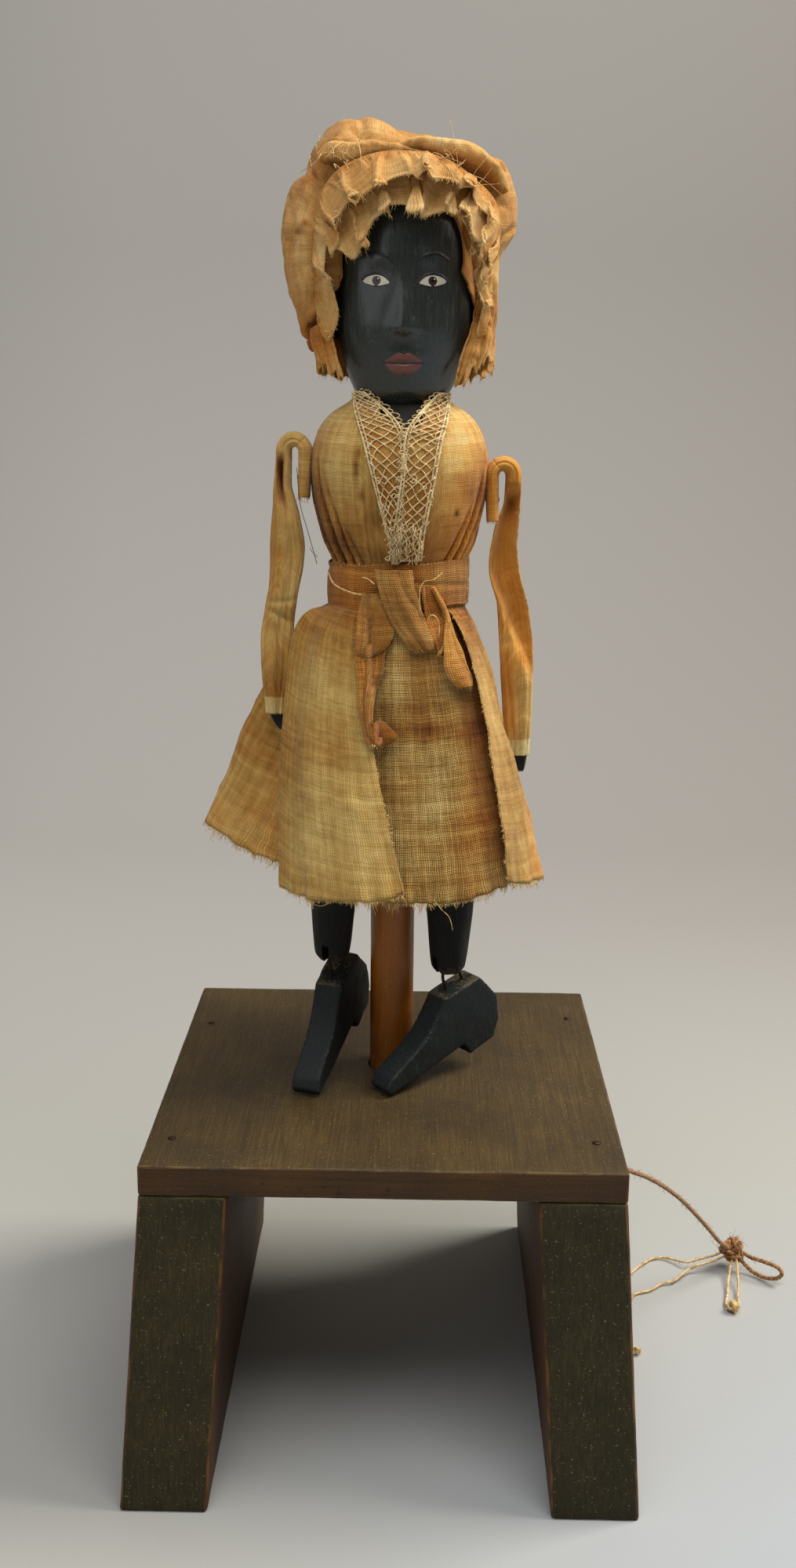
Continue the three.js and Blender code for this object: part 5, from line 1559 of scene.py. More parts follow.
def panel_age_and_shade(p, u, v):
    bands = 0.26 * bell(p[2] - 200, 3.0) + 0.1 * bell(p[2] - 206, 1.4)
    hem = 0.1 * bell(p[2] - 156, 2.5)
    # shade darkens and warms the right of the panel: painted shade of the drape beside it
    shade = ease(15, 24, p[0]) * (1 - 0.5 * ease(176, 160, p[2]))
    stripe = 0.14 * bell(p[0] - 2, 1.6) * ease(203, 208, p[2])
    stripe += 0.1 * bell(p[0] - 12, 3) * bell(p[2] - 180, 14)
    brown = bands * (0.8 + 0.6 * wander(p[0], p[2], 0, 6))
    gold = 0.1 * bell(p[0] - 9, 4) * bell(p[2] - 210, 9)
    return (0.42 + brown + gold + hem + 0.12 * ease(218, 236, p[2]) + 0.08 * shade - stripe,
            0.08 + 1.5 * brown + 3 * gold + 0.5 * ease(214, 236, p[2]) + 0.7 * shade - stripe)


def make_skirt():
    wrap = Sheet("skirt_cloth", skirt_face(WRAP_ROWS, 18.35, 6.5, 3.0, 0.9), 620, 110, skirt_age_shade_and_light, 0.5)
    piece = dress(wrap.build(), "doll", "muslin", muslin, "skirt_wrap")
    roots = edge_roots(wrap.edge("hem"), 4.6, 5)
    for which, seed in (("start", 6), ("end", 7)):
        roots += edge_roots([line[12:] for line in wrap.edge(which)], 3.2, seed, 0.5)
    fray = thread_field("skirt_fray", roots, "doll", 31, radius=0.1, reach=(1.1, 2.7))
    declare_sheet(wrap)

    panel = Sheet("skirt_panel_cloth", skirt_face(PANEL_ROWS, 17.2, 5.0, 8.0, 0.7), 220, 110, panel_age_and_shade, 0.35)
    piece = dress(panel.build(), "doll", "sheer_muslin", sheer_cloth, "skirt_front_panel")
    fray = thread_field("panel_fray", edge_roots(panel.edge("hem"), 5.0, 15, 1.2), "doll", 32,
                        slot="sheer_muslin", radius=0.1, reach=(1.1, 2.6))
    declare_sheet(panel)


# Sash
def make_belt():
    def face(u, v):
        angle = 2 * math.pi * (u - 0.5)
        height = mix(BELT_TOP, BELT_BOTTOM, v)
        turn = u * 120
        lean = 0.75 * math.sin(angle) + 0.3
        soft = 0.22 * crumple(turn, height, 2, 7) + 0.25 * math.sin(math.pi * v)
        fold = 0.4 * bell(v - 0.3 - 0.25 * math.sin(angle * 1.5), 0.07)
        reach = 19.25 + soft - fold
        flat = 0.5 * bell(angle - 0.55, 0.5)
        return Vector((DOLL_X + reach * math.sin(angle), BODY_Y - (reach + flat) * DEPTH * math.cos(angle),
                       height + lean + 0.25 * math.sin(turn * 0.35)))

    def age_shade_and_light(p, u, v):
        left = ease(4, -14, p[0]) * ease(6, -6, p[1])
        return (0.36 + 0.14 * left + 0.12 * wander(p[0], p[2], 3, 7) + 0.1 * bell(v, 0.1),
                0.25 + 0.5 * left + 0.3 * wander(p[0], p[2], 8, 9))

    sheet = Sheet("sash_cloth_band", face, 300, 40, age_shade_and_light, 0.5)
    piece = dress(sheet.build(), "doll", "muslin", sash_cloth, "sash_belt")
    roots = edge_roots(sheet.edge("hem"), 2.6, 41, 0.5)
    roots += edge_roots(sheet.edge("top"), 2.4, 42, 0.5)
    end_x, end_y = DOLL_X + 19.7 * math.sin(1.3), BODY_Y - 19.9 * DEPTH * math.cos(1.3)
    end = [Vector((end_x, end_y, z / 4)) for z in range(935, 982, 2)]
    roots += edge_roots((end, [Vector((1, -0.7, 0))] * len(end)), 5.0, 44, 0.9)
    fray = thread_field("sash_fray", roots, "doll", 43)
    declare_sheet(sheet)


make_belt()
make_skirt()


def front_of_clothes(x, height):
    """Foremost y of the belt and skirt at a place across and up."""
    front = BODY_Y
    reach = 20.2 ** 2 - (x - DOLL_X) ** 2
    if height > BELT_BOTTOM - 1.2 and reach > 0:
        front = min(front, BODY_Y - math.sqrt(reach) * DEPTH)
    for rows, top_radius, share in ((WRAP_ROWS, 18.35, 0.2), (PANEL_ROWS, 17.2, 1)):
        for k in range(61):
            p = skirt_point(between(rows, share * k / 60), min(height, FLARE_TOP), top_radius)
            if abs(p.x - x) < 1.5:
                front = min(front, p.y)
    return front


def ribbon(name, rows, stand_off, across, down, folds, seed, cad_node, age_at, warm, turn_in, curl=0.0,
           thick=0.5):
    """A hanging strip: rows of left edge, right edge, drop below the belt's top, and lift.

    folds are waves across it, each with its count, depth and shift. turn_in bows its edges back.
    """
    lines = {}

    def front(x, height):
        key = (round(x), round(height))
        if key not in lines:
            lines[key] = min(front_of_clothes(key[0], key[1] + step) for step in (-2, 0, 2))
        return lines[key]

    def face(u, v):
        left, right, drop, lift = between(rows, v)
        x = DOLL_X + mix(left, right, u)
        height = BELT_TOP - drop
        fx, fz = math.floor(x), math.floor(height)
        wx, wz = x - fx, height - fz
        base = mix(mix(front(fx, fz), front(fx + 1, fz), wx),
                   mix(front(fx, fz + 1), front(fx + 1, fz + 1), wx), wz)
        wave = sum(depth * math.sin(2 * math.pi * (count * u + shift + 0.2 * math.sin(3 * v + seed)))
                   for count, depth, shift in folds)
        wave += 0.25 * crumple(x + seed, 0, height, 4)
        roll = curl * ease(0.8, 1.0, v)
        bow = turn_in * (1 - (2 * u - 1) ** 2)
        return Vector((x, base - stand_off - lift - abs(wave) - roll - bow, height))

    def age_shade_and_light(p, u, v):
        tone = age_at + 0.08 * math.sin(2 * math.pi * folds[0][0] * u) + 0.12 * wander(p[0], p[2], seed, 5)
        return tone + 0.1 * ease(0.8, 1.0, v), warm + 0.3 * ease(0.75, 1.0, v)

    sheet = Sheet(name, face, across, down, age_shade_and_light, thick)
    piece = dress(sheet.build(), "doll", "muslin", sash_cloth, *([cad_node] if cad_node else []))
    roots = []
    for which in ("hem", "start", "end"):
        per_mm, share = (4.5, 0.8) if which == "hem" else (3.0, 0.4)
        roots += edge_roots(sheet.edge(which), per_mm, seed, share)
    fray = thread_field(f"{name}_fray", roots, "doll", seed + 50)
    if cad_node:
        declare_sheet(sheet)
    return [piece, fray]


def make_sash():
    ribbon("sash_knot_cloth",
           [(-6.2, 3.8, 0.9, 0.5), (-5.1, 4.5, 5.5, 1.6), (-3.3, 6.2, 10.8, 2.0), (-1.2, 8.0, 15.2, 1.9),
            (1.6, 9.6, 19.0, 1.2), (4.4, 10.0, 21.9, 0.2)],
           0.6, 54, 80, [(0.5, 0.5, 0.0), (1.5, 0.25, 0.4)], 2, "sash_knot", 0.26, 0.05, 0.5, thick=0.6)
    ribbon("sash_loop_cloth",
           [(-9.0, -4.4, 7.4, 0.2), (-10.3, -2.8, 11.6, 1.2), (-10.7, -0.9, 16.5, 1.6),
            (-10.8, -1.8, 20, 1.3), (-10.6, -4.2, 22.6, 0.9), (-9.2, -6.2, 23.7, 0.4)],
           0.3, 44, 60, [(0.5, 0.3, 0), (1.5, 0.2, 0.2)], 3, "sash_loop", 0.3, 0.15, 0.6, thick=0.6)
    curl = ribbon("sash_curl_left",
                  [(-6.8, -4.6, 40.2, 0.7), (-6.6, -1.6, 42.2, 1.1), (-6.3, 0.4, 44.2, 1.3),
                   (-5.0, -0.9, 46.0, 1.0), (-4.0, -2.4, 46.8, 0.6)],
                  0.6, 34, 40, [(0.5, 0.3, 0.0)], 6, None, 0.52, 0.6, 0.9, curl=0.2)
    ribbon("sash_tail_cloth_left",
           [(-11.4, -3.0, 19.0, -0.4), (-11.0, -3.2, 24.0, 0.0), (-10.7, -3.6, 27.9, 0.2),
            (-10.1, -5.7, 33.9, 0.4), (-9.3, -6.2, 39.9, 0.5), (-8.1, -5.4, 44.0, 0.6),
            (-7.0, -4.8, 45.6, 0.7)],
           0.5, 34, 90, [(0.5, 0.35, 0.0)], 4, "sash_tail_left", 0.36, 0.4, 0.4, curl=0.3)
    rim = ribbon("sash_rim_right",
                 [(9.0, 10.0, 5.6, 0.8), (11.2, 12.4, 9.8, 1.3), (12.9, 14.2, 14.2, 1.4),
                  (13.2, 14.6, 18.0, 1.3), (12.2, 13.4, 21.2, 1.0), (11.0, 12.0, 23.0, 0.8)],
                 0.6, 12, 80, [(0.5, 0.2, 0.0)], 9, None, 0.2, 0.5, 0.5)
    end = ribbon("sash_end_right",
                 [(13.0, 14.6, 15.4, 0.7), (12.7, 15.6, 18.6, 1.3), (12.7, 17.5, 22.3, 1.9),
                  (12.9, 18.7, 25.9, 2.2), (14.1, 20.1, 29.1, 1.9), (16.2, 20.4, 31.6, 1.2)],
                 0.8, 40, 60, [(0.5, 0.5, 0.0), (1.5, 0.15, 0.1)], 7, None, 0.2, 0.55, 0.7, curl=0.2,
                 thick=0.7)
    ribbon("sash_tail_cloth_right",
           [(6.5, 9.6, 5.4, 0.5), (7.0, 11.6, 9.8, 0.7), (7.8, 13.3, 14.2, 0.7), (9.2, 13.6, 17.8, 0.6),
            (10.6, 13.0, 21.0, 0.5), (11.6, 13.2, 23.4, 0.4)],
           0.5, 36, 80, [(0.5, 0.3, 0.0), (1.0, 0.3, 0.1)], 5, "sash_tail_right", 0.46, 0.75, -0.5)


LOOSE_THREADS = [
    ("loose_yarn_sash", 0.22, cloth_thread,
     [(-17.6, -2, 240.6), (-15.5, -9.4, 238.2), (-11, -13.4, 236.6), (-7.6, -15.6, 236.2)]),
    ("loose_yarn_knot", 0.14, cloth_thread,
     [(-7.8, -14.8, 240.8), (-6.2, -15.9, 240.4), (-4.6, -16.6, 239.2)]),
    ("loose_yarn_loop", 0.13, cloth_thread,
     [(7.6, -15.4, 232.2), (7.4, -16.6, 237.4), (8.6, -16.8, 240.0), (11.2, -16.4, 240.6),
      (13.4, -15.4, 242.4)]),
    ("loose_yarn_ring", 0.14, cloth_thread,
     [(9.2, -18.2, 228.6), (10.4, -18.8, 231.4), (12.2, -18.8, 230.6), (12.8, -18.4, 227.6),
      (12.6, -18.0, 225.4)]),
    ("loose_dark_thread", 0.1, dark_thread,
     [(-26.2, -0.6, 268.6), (-25.2, -2.4, 259.0), (-23.2, -4.0, 252.4), (-20.4, -6.6, 243.4)]),
    ("loose_dark_end", 0.08, dark_thread,
     [(-22.4, -5.0, 247.4), (-21.6, -6.2, 246.4), (-20.2, -7.0, 245.2)]),
    ("hem_yarn_right", 0.1, cloth_thread,
     [(12.4, -29.6, 156.2), (14.4, -29.8, 153.6), (16.6, -29.4, 151.2), (17.6, -28.8, 147.4)]),
    ("hem_yarn_left", 0.1, cloth_thread,
     [(-22.4, -24.4, 156.2), (-21.4, -25.6, 154.0), (-18.2, -27.4, 153.2), (-15.0, -29.6, 155.4)]),
]


def loose_threads():
    """Single yarns that have come away at the sash, the left shoulder and the hem."""
    for name, radius, fibre, points in LOOSE_THREADS:
        made, faces = tube_mesh(evenly(points, 0.35), radius, 5)
        dress(add_mesh(name, made, faces), "doll", "lace", fibre)


make_sash()
loose_threads()


# Bonnet
BONNET_ROWS = [
    (0, 358), (9, 357.2), (17, 354), (23.5, 348.6), (27.6, 341), (29.6, 332), (29.4, 322), (28.2, 311),
    (25.6, 300.5), (20.6, 293), (14.6, 290.4), (0, 290),
]
BONNET_CENTRE = Vector((0.7, 5.5, 323))
BONNET_FOOT = 290
BONNET_TOP = 358


def bonnet_reach(way):
    """Distance from the bonnet's middle to its surface in a direction; its front half is shallow."""
    deep = 0.52 if way.y < 0 else 1.0
    low, high = 0.0, 60.0
    for _ in range(22):
        mid = (low + high) / 2
        p = way * mid
        flat = math.hypot(p.x, p.y / deep)
        height = BONNET_CENTRE.z + p.z
        inside = BONNET_FOOT < height < BONNET_TOP and flat < table_at(BONNET_ROWS, height)
        low, high = (mid, high) if inside else (low, mid)
    return low


BONNET_FOLDS = [
    # line of (across, height) points, width of the slope on its left, step height, and groove beyond it
    ([(-17.5, 347.0), (-8, 348.8), (1.9, 349.2)], 3.0, 1.5, 0.5),
    ([(2.7, 351.6), (13.6, 350.2), (22, 347.4), (28.5, 343.6)], 3.6, 2.6, 1.4),
    ([(-12, 352.6), (-3, 352.0), (6, 352.8)], 2.2, 0.9, 0.4),
    ([(-23.5, 309), (-21.6, 318), (-20.2, 328), (-21, 338), (-24, 345.5)], 4.0, 1.7, 0.9),
    ([(-18.4, 305), (-17.0, 318), (-18.6, 333)], 1.8, 1.1, 0.6),
    ([(-12.3, 349.5), (-18, 347.2), (-23, 343.6)], 2.6, 1.2, 0.6),
    ([(30.8, 331), (26, 325.2), (21.2, 321.4)], 3.2, 1.6, 0.9),
    ([(24.6, 322), (25.6, 311), (23.6, 300)], 1.6, 1.1, 0.6),
    ([(28.4, 320), (28.6, 309), (26, 299)], 1.5, 0.9, 0.5),
    ([(14, 356), (20, 352.4), (26.8, 347.6)], 2.6, 0.9, 0.4),
    ([(-27.4, 322), (-26.6, 330), (-27.6, 338)], 3.0, 0.5, 0.2),
]


def fold_relief(x, height):
    """Relief of the folds seen from the front: a slope up to each line, then a step and a groove."""
    total = 0.0
    for line, slope, step, groove in BONNET_FOLDS:
        best, side, share = 1e9, 1.0, 0.0
        for k, ((x0, z0), (x1, z1)) in enumerate(zip(line, line[1:])):
            run = (x1 - x0) ** 2 + (z1 - z0) ** 2
            w = clamp(((x - x0) * (x1 - x0) + (height - z0) * (z1 - z0)) / run)
            dx, dz = x - mix(x0, x1, w), height - mix(z0, z1, w)
            far = math.hypot(dx, dz)
            if far < best:
                best, share = far, (k + w) / (len(line) - 1)
                side = 1.0 if (x1 - x0) * dz - (z1 - z0) * dx > 0 else -1.0
        if best > 9:
            continue
        ends = ease(0.0, 0.18, share) * ease(1.0, 0.82, share)
        d = best * side
        lip = math.exp(-d / slope) if d > 0 else 1 - ease(0.0, 0.9, -d)
        total += ends * (step * lip - groove * bell(d + 1.2, 0.9))
    return total


BONNET_OUTLINE = [
    # degrees round from the right as seen from the front, and how far the outline stands out there
    (0, -2.4), (19, 2.0), (36, 1.8), (48, -0.8), (62, -3.0), (76, -2.6), (90, -2.2), (105, 0.0), (120, 1.6),
    (137, -0.6), (152, 1.3), (180, 1.5), (200, 0.9), (220, 0.9), (270, 0.0), (325, -1.0), (342, -2.2),
    (360, -2.4),
]


def bonnet_outline(way):
    """How far the photographed outline stands off the turned form in a direction."""
    turn = math.degrees(math.atan2(way.z, way.x)) % 360
    for (a0, r0), (a1, r1) in zip(BONNET_OUTLINE, BONNET_OUTLINE[1:]):
        if a0 <= turn <= a1:
            return mix(r0, r1, ease(a0, a1, turn)) * math.hypot(way.x, way.z)
    return 0.0


def bonnet_point(around, back):
    """around runs round the face from the nape, back from the gathered seam (0) to the crown (1)."""
    angle = -math.pi / 2 + 2 * math.pi * around
    down = max(0.0, -math.sin(angle))
    start = mix(math.radians(52), math.radians(118), ease(0.35, 0.92, down))
    polar = mix(start, math.pi, back)
    way = Vector((math.sin(polar) * math.cos(angle), -math.cos(polar), math.sin(polar) * math.sin(angle)))
    reach = bonnet_reach(way)
    turn = 2 * math.pi * around
    gather = 0.0
    for count, depth, phase in ((23, 0.7, 0.3), (14, 0.8, 1.1), (41, 0.25, 2.0)):
        bent = 2.6 * wander(5 * around, back * 1.5, count, 0.6)
        gather += depth * math.sin(count * turn + phase + bent)
    gather *= mix(0.75, 0.05, ease(0.0, 0.22, back)) * ease(-0.02, 0.06, back)
    p = BONNET_CENTRE + way * reach
    big = 1.7 * crumple(p.x + 40, p.y, p.z, 19, 2)
    crisp = 0.8 * abs(wander(p.x, p.y, p.z + 7, 8)) + 0.5 * abs(wander(p.x * 1.3, p.y, p.z, 4.2))
    front = ease(9, 1, p.y)
    folds = fold_relief(p.x, p.z) * front if front > 0 else 0.0
    low = 1.6 * bell(p.x + 26, 6) * bell(p.z - 306, 8)
    tuck = 3.4 * (1 - ease(0.0, 0.05, back))
    return p + way * (gather + big + crisp + folds - 1.5 - low + bonnet_outline(way) - tuck)


def clear_of_head(gap):
    """A function that moves a point of simulated cloth until it is that far off the head."""
    def clear(p):
        if not 276 < p.z < 349:
            return p
        cx = DOLL_X + head_lean(p.z)
        far = math.hypot(p.x - cx, p.y - BODY_Y)
        need = head_radius(p.z) + gap
        if far >= need or far < 1e-6:
            return p
        grown = need / far
        return Vector((cx + (p.x - cx) * grown, BODY_Y + (p.y - BODY_Y) * grown, p.z))
    return clear


def make_bonnet():
    def age_shade_and_light(p, u, v):
        seam = 1 - ease(0, 0.12, v)
        low = ease(326, 298, p[2])
        stains = 0.5 * bell(math.hypot(p[0] + 25.2, p[2] - 328.6), 0.9) + 0.45 * bell(
            math.hypot(p[0] + 23.2, p[2] - 330.4), 0.8)
        high = ease(318, 338, p[2])
        return (0.33 + 0.16 * seam + 0.14 * low + 0.15 * high + stains
                + 0.1 * wander(p[0], p[1], p[2], 11),
                0.2 + 0.35 * seam + 0.5 * low)

    sheet = Sheet("bonnet_cloth", bonnet_point, 320, 90, age_shade_and_light, 0.45, relax={
        "closed": True, "hold": lambda u, v: 1.0 if v < 0.02 else 0.0, "grow": 0.07, "steps": 9, "cap": 1.8,
        "clear": clear_of_head(1.0), "stiff": 1.2})
    piece = dress(sheet.build(), "doll", "bonnet_muslin", bonnet_cloth, "bonnet")
    declare_sheet(sheet)


def frill(name, rows, lobes, depth, swing, across, down, seed, node, grow, length_wander=0.16,
          age_at=0.26, bulge=1.0):
    """A gathered strip from its seam to its hem: rows of seam point and hem point."""
    def face(u, v):
        row = between(rows, u)
        seam, hem = Vector(row[:3]), Vector(row[3:])
        before, after = between(rows, max(u - 0.01, 0)), between(rows, min(u + 0.01, 1))
        along = (Vector(after[:3]) + Vector(after[3:]) - Vector(before[:3]) - Vector(before[3:])).normalized()
        reach = hem - seam
        out = along.cross(reach).normalized()
        if out.dot(seam - Vector((2.5, 6.0, seam.z))) < 0:
            out = -out
        turn = 2 * math.pi * lobes * u + 2.6 * wander(u * lobes * 0.9, seed, 3, 1.7)
        fine_turn = 2 * math.pi * lobes * 2.3 * u + 2.4 * wander(u * lobes * 2, seed, 9, 1.0)
        size = 0.8 + 1.0 * wander(u * lobes, seed, 17, 1.1)
        ridge = 1 - abs(math.sin(0.5 * fine_turn))
        open_out = v ** 0.85
        longer = 1 + length_wander * wander(u * lobes, seed, 1, 1.4) + 0.07 * math.sin(fine_turn)
        p = seam + reach * v * longer
        flute = depth * size * open_out * (0.5 + 0.5 * math.sin(turn)) ** 0.8
        p += out * (flute + 0.28 * depth * open_out * ridge)
        p += out * bulge * math.sin(math.pi * min(v * 1.15, 1.0))
        sway = along * swing * open_out * math.cos(turn + 0.4)
        p += sway + along * 0.25 * swing * open_out * math.cos(fine_turn)
        rough = 0.6 * crumple(p.x + seed, p.y, p.z, 6.0, 2) * ease(0, 0.3, v)
        return p + out * rough * 0.6 + reach.normalized() * rough * 0.4

    def age_shade_and_light(p, u, v):
        return (age_at + 0.2 * (1 - v) ** 2 + 0.14 * wander(p[0], p[1], p[2], 4),
                0.1 + 0.5 * (1 - v) + 0.3 * wander(p[0], p[1] + 9, p[2], 6) + 0.4 * ease(310, 296, p[2]))

    sheet = Sheet(name, face, across, down, age_shade_and_light, 0.4, relax={
        "closed": False, "hold": lambda u, v: 1.0 if v < 0.05 else 0.0, "grow": grow, "steps": 9, "cap": 1.7,
        "clear": clear_of_head(0.6), "stiff": 1.0})
    piece = dress(sheet.build(), "doll", "bonnet_muslin", bonnet_cloth, *([node] if node else []))
    fray = thread_field(f"{name}_fray", edge_roots(sheet.edge("hem"), 3.0, seed + 71), "doll", seed + 72,
                        slot="bonnet_muslin", reach=(0.4, 1.9), curl=0.9, radius=0.07)
    declare_sheet(sheet)
    return sheet


def fold_over(name, rows, across, age_at, warm, seed, ribs=0.0):
    """A tuck standing on the bonnet.

    Its rows are its lip's place, its height, how far it stands out, and its depth behind the lip.
    """
    section = [
        # back from the lip as a share of the depth, and up as a share of the height
        (1.0, 0.75), (0.7, 1.0), (0.35, 1.05), (0.08, 0.72), (0.0, 0.25), (0.12, -0.35), (0.4, -0.5),
        (0.8, -0.15),
    ]

    def face(u, v):
        x, y, z, tall, stand, behind = between(rows, u)
        back, up = between(section, v)
        near, far = between(rows, min(u + 0.02, 1)), between(rows, max(u - 0.02, 0))
        along = Vector((near[0] - far[0], near[1] - far[1], near[2] - far[2])).normalized()
        rise = Vector((0, 0.25, 1))
        rise = (rise - along * rise.dot(along)).normalized()
        deep = along.cross(rise)
        if deep.y < 0:
            deep = -deep
        p = Vector((x, y, z)) + rise * tall * up + deep * (behind * back - stand * (1 - back))
        rough = crumple(p.x + seed, p.y, p.z, 6, 3)
        p += rise * 0.7 * rough + deep * 0.5 * crumple(p.x, p.y + seed, p.z, 3.5, 2)
        rib = ribs * math.sin(2 * math.pi * (2.1 * p.x + 0.8 * wander(p.x, seed, 0, 2))) * bell(v - 0.6, 0.25)
        return p - deep * rib

    def age_shade_and_light(p, u, v):
        # inside paints the hollow behind the lip darker and warmer: painted shade
        inside = ease(0.62, 0.85, v)
        return (age_at + 0.3 * inside + 0.12 * wander(p[0], p[1], p[2], 5),
                warm + 0.5 * inside + 0.2 * wander(p[0], p[1] + 9, p[2], 7))

    sheet = Sheet(name, face, across, 44, age_shade_and_light, 0.45)
    piece = dress(sheet.build(), "doll", "bonnet_muslin", bonnet_cloth)
    fray = thread_field(f"{name}_fray", edge_roots(sheet.edge("hem"), 2.0, seed + 61), "doll", seed + 62,
                        slot="bonnet_muslin", reach=(0.5, 2.4), curl=0.9, radius=0.07)
    declare_sheet(sheet)


def make_frills():
    frill("ruffle_cloth", [
        (-20.0, -1.5, 304.0, -16.4, -3.0, 303.4), (-20.8, -4.0, 312.0, -15.2, -5.6, 309.0),
        (-21.2, -6.0, 321.0, -15.4, -8.0, 318.0), (-20.8, -8.0, 329.0, -15.8, -10.2, 325.6),
        (-19.8, -9.6, 334.6, -12.9, -12.4, 325.2), (-17.2, -11.0, 340.0, -8.8, -14.2, 322.6),
        (-12.0, -12.4, 343.6, -6.0, -14.8, 326.6), (-6.0, -13.0, 345.4, -2.8, -15.0, 330.4),
        (0.0, -13.4, 346.0, 1.0, -15.4, 333.4), (6.0, -13.4, 345.6, 5.2, -15.6, 332.6),
        (11.5, -13.0, 344.2, 9.6, -15.4, 333.0), (16.5, -12.2, 341.8, 14.2, -14.8, 333.2),
        (20.6, -11.0, 338.6, 16.2, -14.2, 332.0), (23.2, -9.6, 333.6, 16.8, -13.2, 328.0),
        (24.4, -8.0, 328.0, 18.0, -11.6, 323.6), (24.8, -6.0, 321.0, 20.4, -8.8, 319.6),
        (24.6, -4.4, 313.0, 21.4, -6.6, 312.0), (24.0, -3.0, 305.0, 21.2, -4.6, 304.5)],
        10, 3.8, 3.0, 460, 26, 3, "bonnet_ruffle", 0.16, 0.26)
    frill("upper_frill", [
        (-19.6, -9.0, 332.0, -13.8, -13.0, 330.0), (-18.4, -10.4, 338.0, -11.0, -15.6, 331.6),
        (-13.6, -12.2, 343.2, -8.0, -17.0, 335.8), (-6.0, -13.2, 346.2, -3.6, -17.8, 338.4),
        (1.0, -13.6, 347.0, 2.0, -18.2, 340.0), (8.0, -13.4, 346.4, 8.0, -18.0, 339.4),
        (14.0, -12.8, 344.6, 13.0, -17.4, 338.2), (19.0, -11.8, 341.0, 17.6, -16.6, 335.6),
        (22.6, -10.4, 336.2, 20.8, -15.6, 331.6), (24.0, -9.0, 330.0, 20.4, -13.6, 326.6)],
        6, 3.2, 3.2, 300, 22, 8, None, 0.15, 0.3)
    frill("cheek_cluster", [
        (19.2, -11.2, 341.0, 16.2, -15.2, 334.4), (22.2, -10.6, 339.0, 17.4, -16.4, 331.0),
        (25.0, -9.6, 336.0, 19.6, -16.0, 327.6), (26.4, -8.6, 331.6, 20.6, -14.2, 324.0),
        (26.6, -7.6, 327.4, 20.4, -12.0, 320.6), (26.2, -6.4, 323.0, 20.2, -9.8, 317.6)],
        3, 3.0, 2.8, 150, 28, 14, None, 0.16, 0.26, age_at=0.2)
    frill("nape_frill", [
        (-17.4, -3.8, 306.0, -12.8, -4.8, 292.6), (-20.6, -2.4, 305.5, -16.4, -2.8, 294.6),
        (-22.6, 2.0, 304.5, -19.6, 2.0, 297.5), (-21.4, 11.0, 303.5, -18.4, 11.0, 294.5),
        (-14.0, 19.0, 303.0, -12.0, 17.5, 293.0), (1.5, 22.4, 302.5, 1.5, 20.4, 292.4),
        (16.6, 19.0, 303.0, 15.0, 17.5, 293.0), (24.0, 11.0, 304.0, 21.6, 11.0, 294.2),
        (26.4, 3.4, 306.0, 24.6, 3.0, 296.4), (26.4, -1.4, 310.0, 24.4, -2.2, 298.4),
        (24.2, -4.4, 314.0, 20.4, -4.8, 294.4), (21.8, -5.6, 315.0, 16.4, -5.8, 291.8)],
        13, 1.6, 1.0, 400, 26, 5, None, 0.1, age_at=0.34, bulge=0.4)
    fold_over("band_fold", [
        (-19.6, -8.2, 345.8, 2.2, 0.2, 5.0), (-16.5, -9.8, 347.0, 3.2, 0.5, 6.0),
        (-12.0, -11.0, 346.8, 3.1, 0.6, 6.5), (-6.0, -11.8, 347.4, 2.6, 0.6, 6.5),
        (0.0, -12.0, 347.6, 1.9, 0.5, 6.0), (4.2, -11.6, 347.4, 1.1, 0.2, 5.0)],
        120, 0.3, 0.2, 3, 0.16)
    fold_over("brim_fold", [
        (-0.5, -11.2, 348.4, 1.0, 0.2, 6.0), (5.0, -12.0, 348.8, 1.9, 0.8, 8.0),
        (9.3, -12.4, 348.4, 2.5, 1.3, 9.0), (15.7, -11.8, 347.4, 2.9, 1.6, 9.5),
        (20.5, -10.4, 345.8, 3.0, 1.5, 9.5), (25.4, -7.8, 343.2, 2.7, 1.0, 8.0),
        (28.8, -4.8, 339.0, 1.8, 0.2, 6.0)],
        150, 0.24, 0.3, 9)


YARN_TUFTS = [
    # middle, width and number of yarn ends
    (-15, -12.4, 347, 4.5, 16), (11, -13.6, 344, 5, 22), (-11, -13, 341, 3, 10), (19, -12.4, 339, 3, 12),
]


def seam_yarns():
    """Curled yarn ends along the gathering, at the top left and over the right of the brow."""
    rng = random.Random(17)
    roots = []
    for cx, cy, cz, wide, count in YARN_TUFTS:
        for _ in range(count):
            p = (cx + rng.gauss(0, wide * 0.6), cy + rng.uniform(-1.2, 0.2), cz + rng.gauss(0, 1.6))
            roots.append((p, (rng.gauss(0, 1), -0.7, rng.gauss(0, 1)), rng.uniform(1.0, 2.6)))
    thread_field("seam_yarn", roots, "doll", 19, slot="bonnet_muslin", radius=0.12, reach=(1.5, 4.5),
                 curl=1.6)


make_bonnet()
make_frills()
seam_yarns()


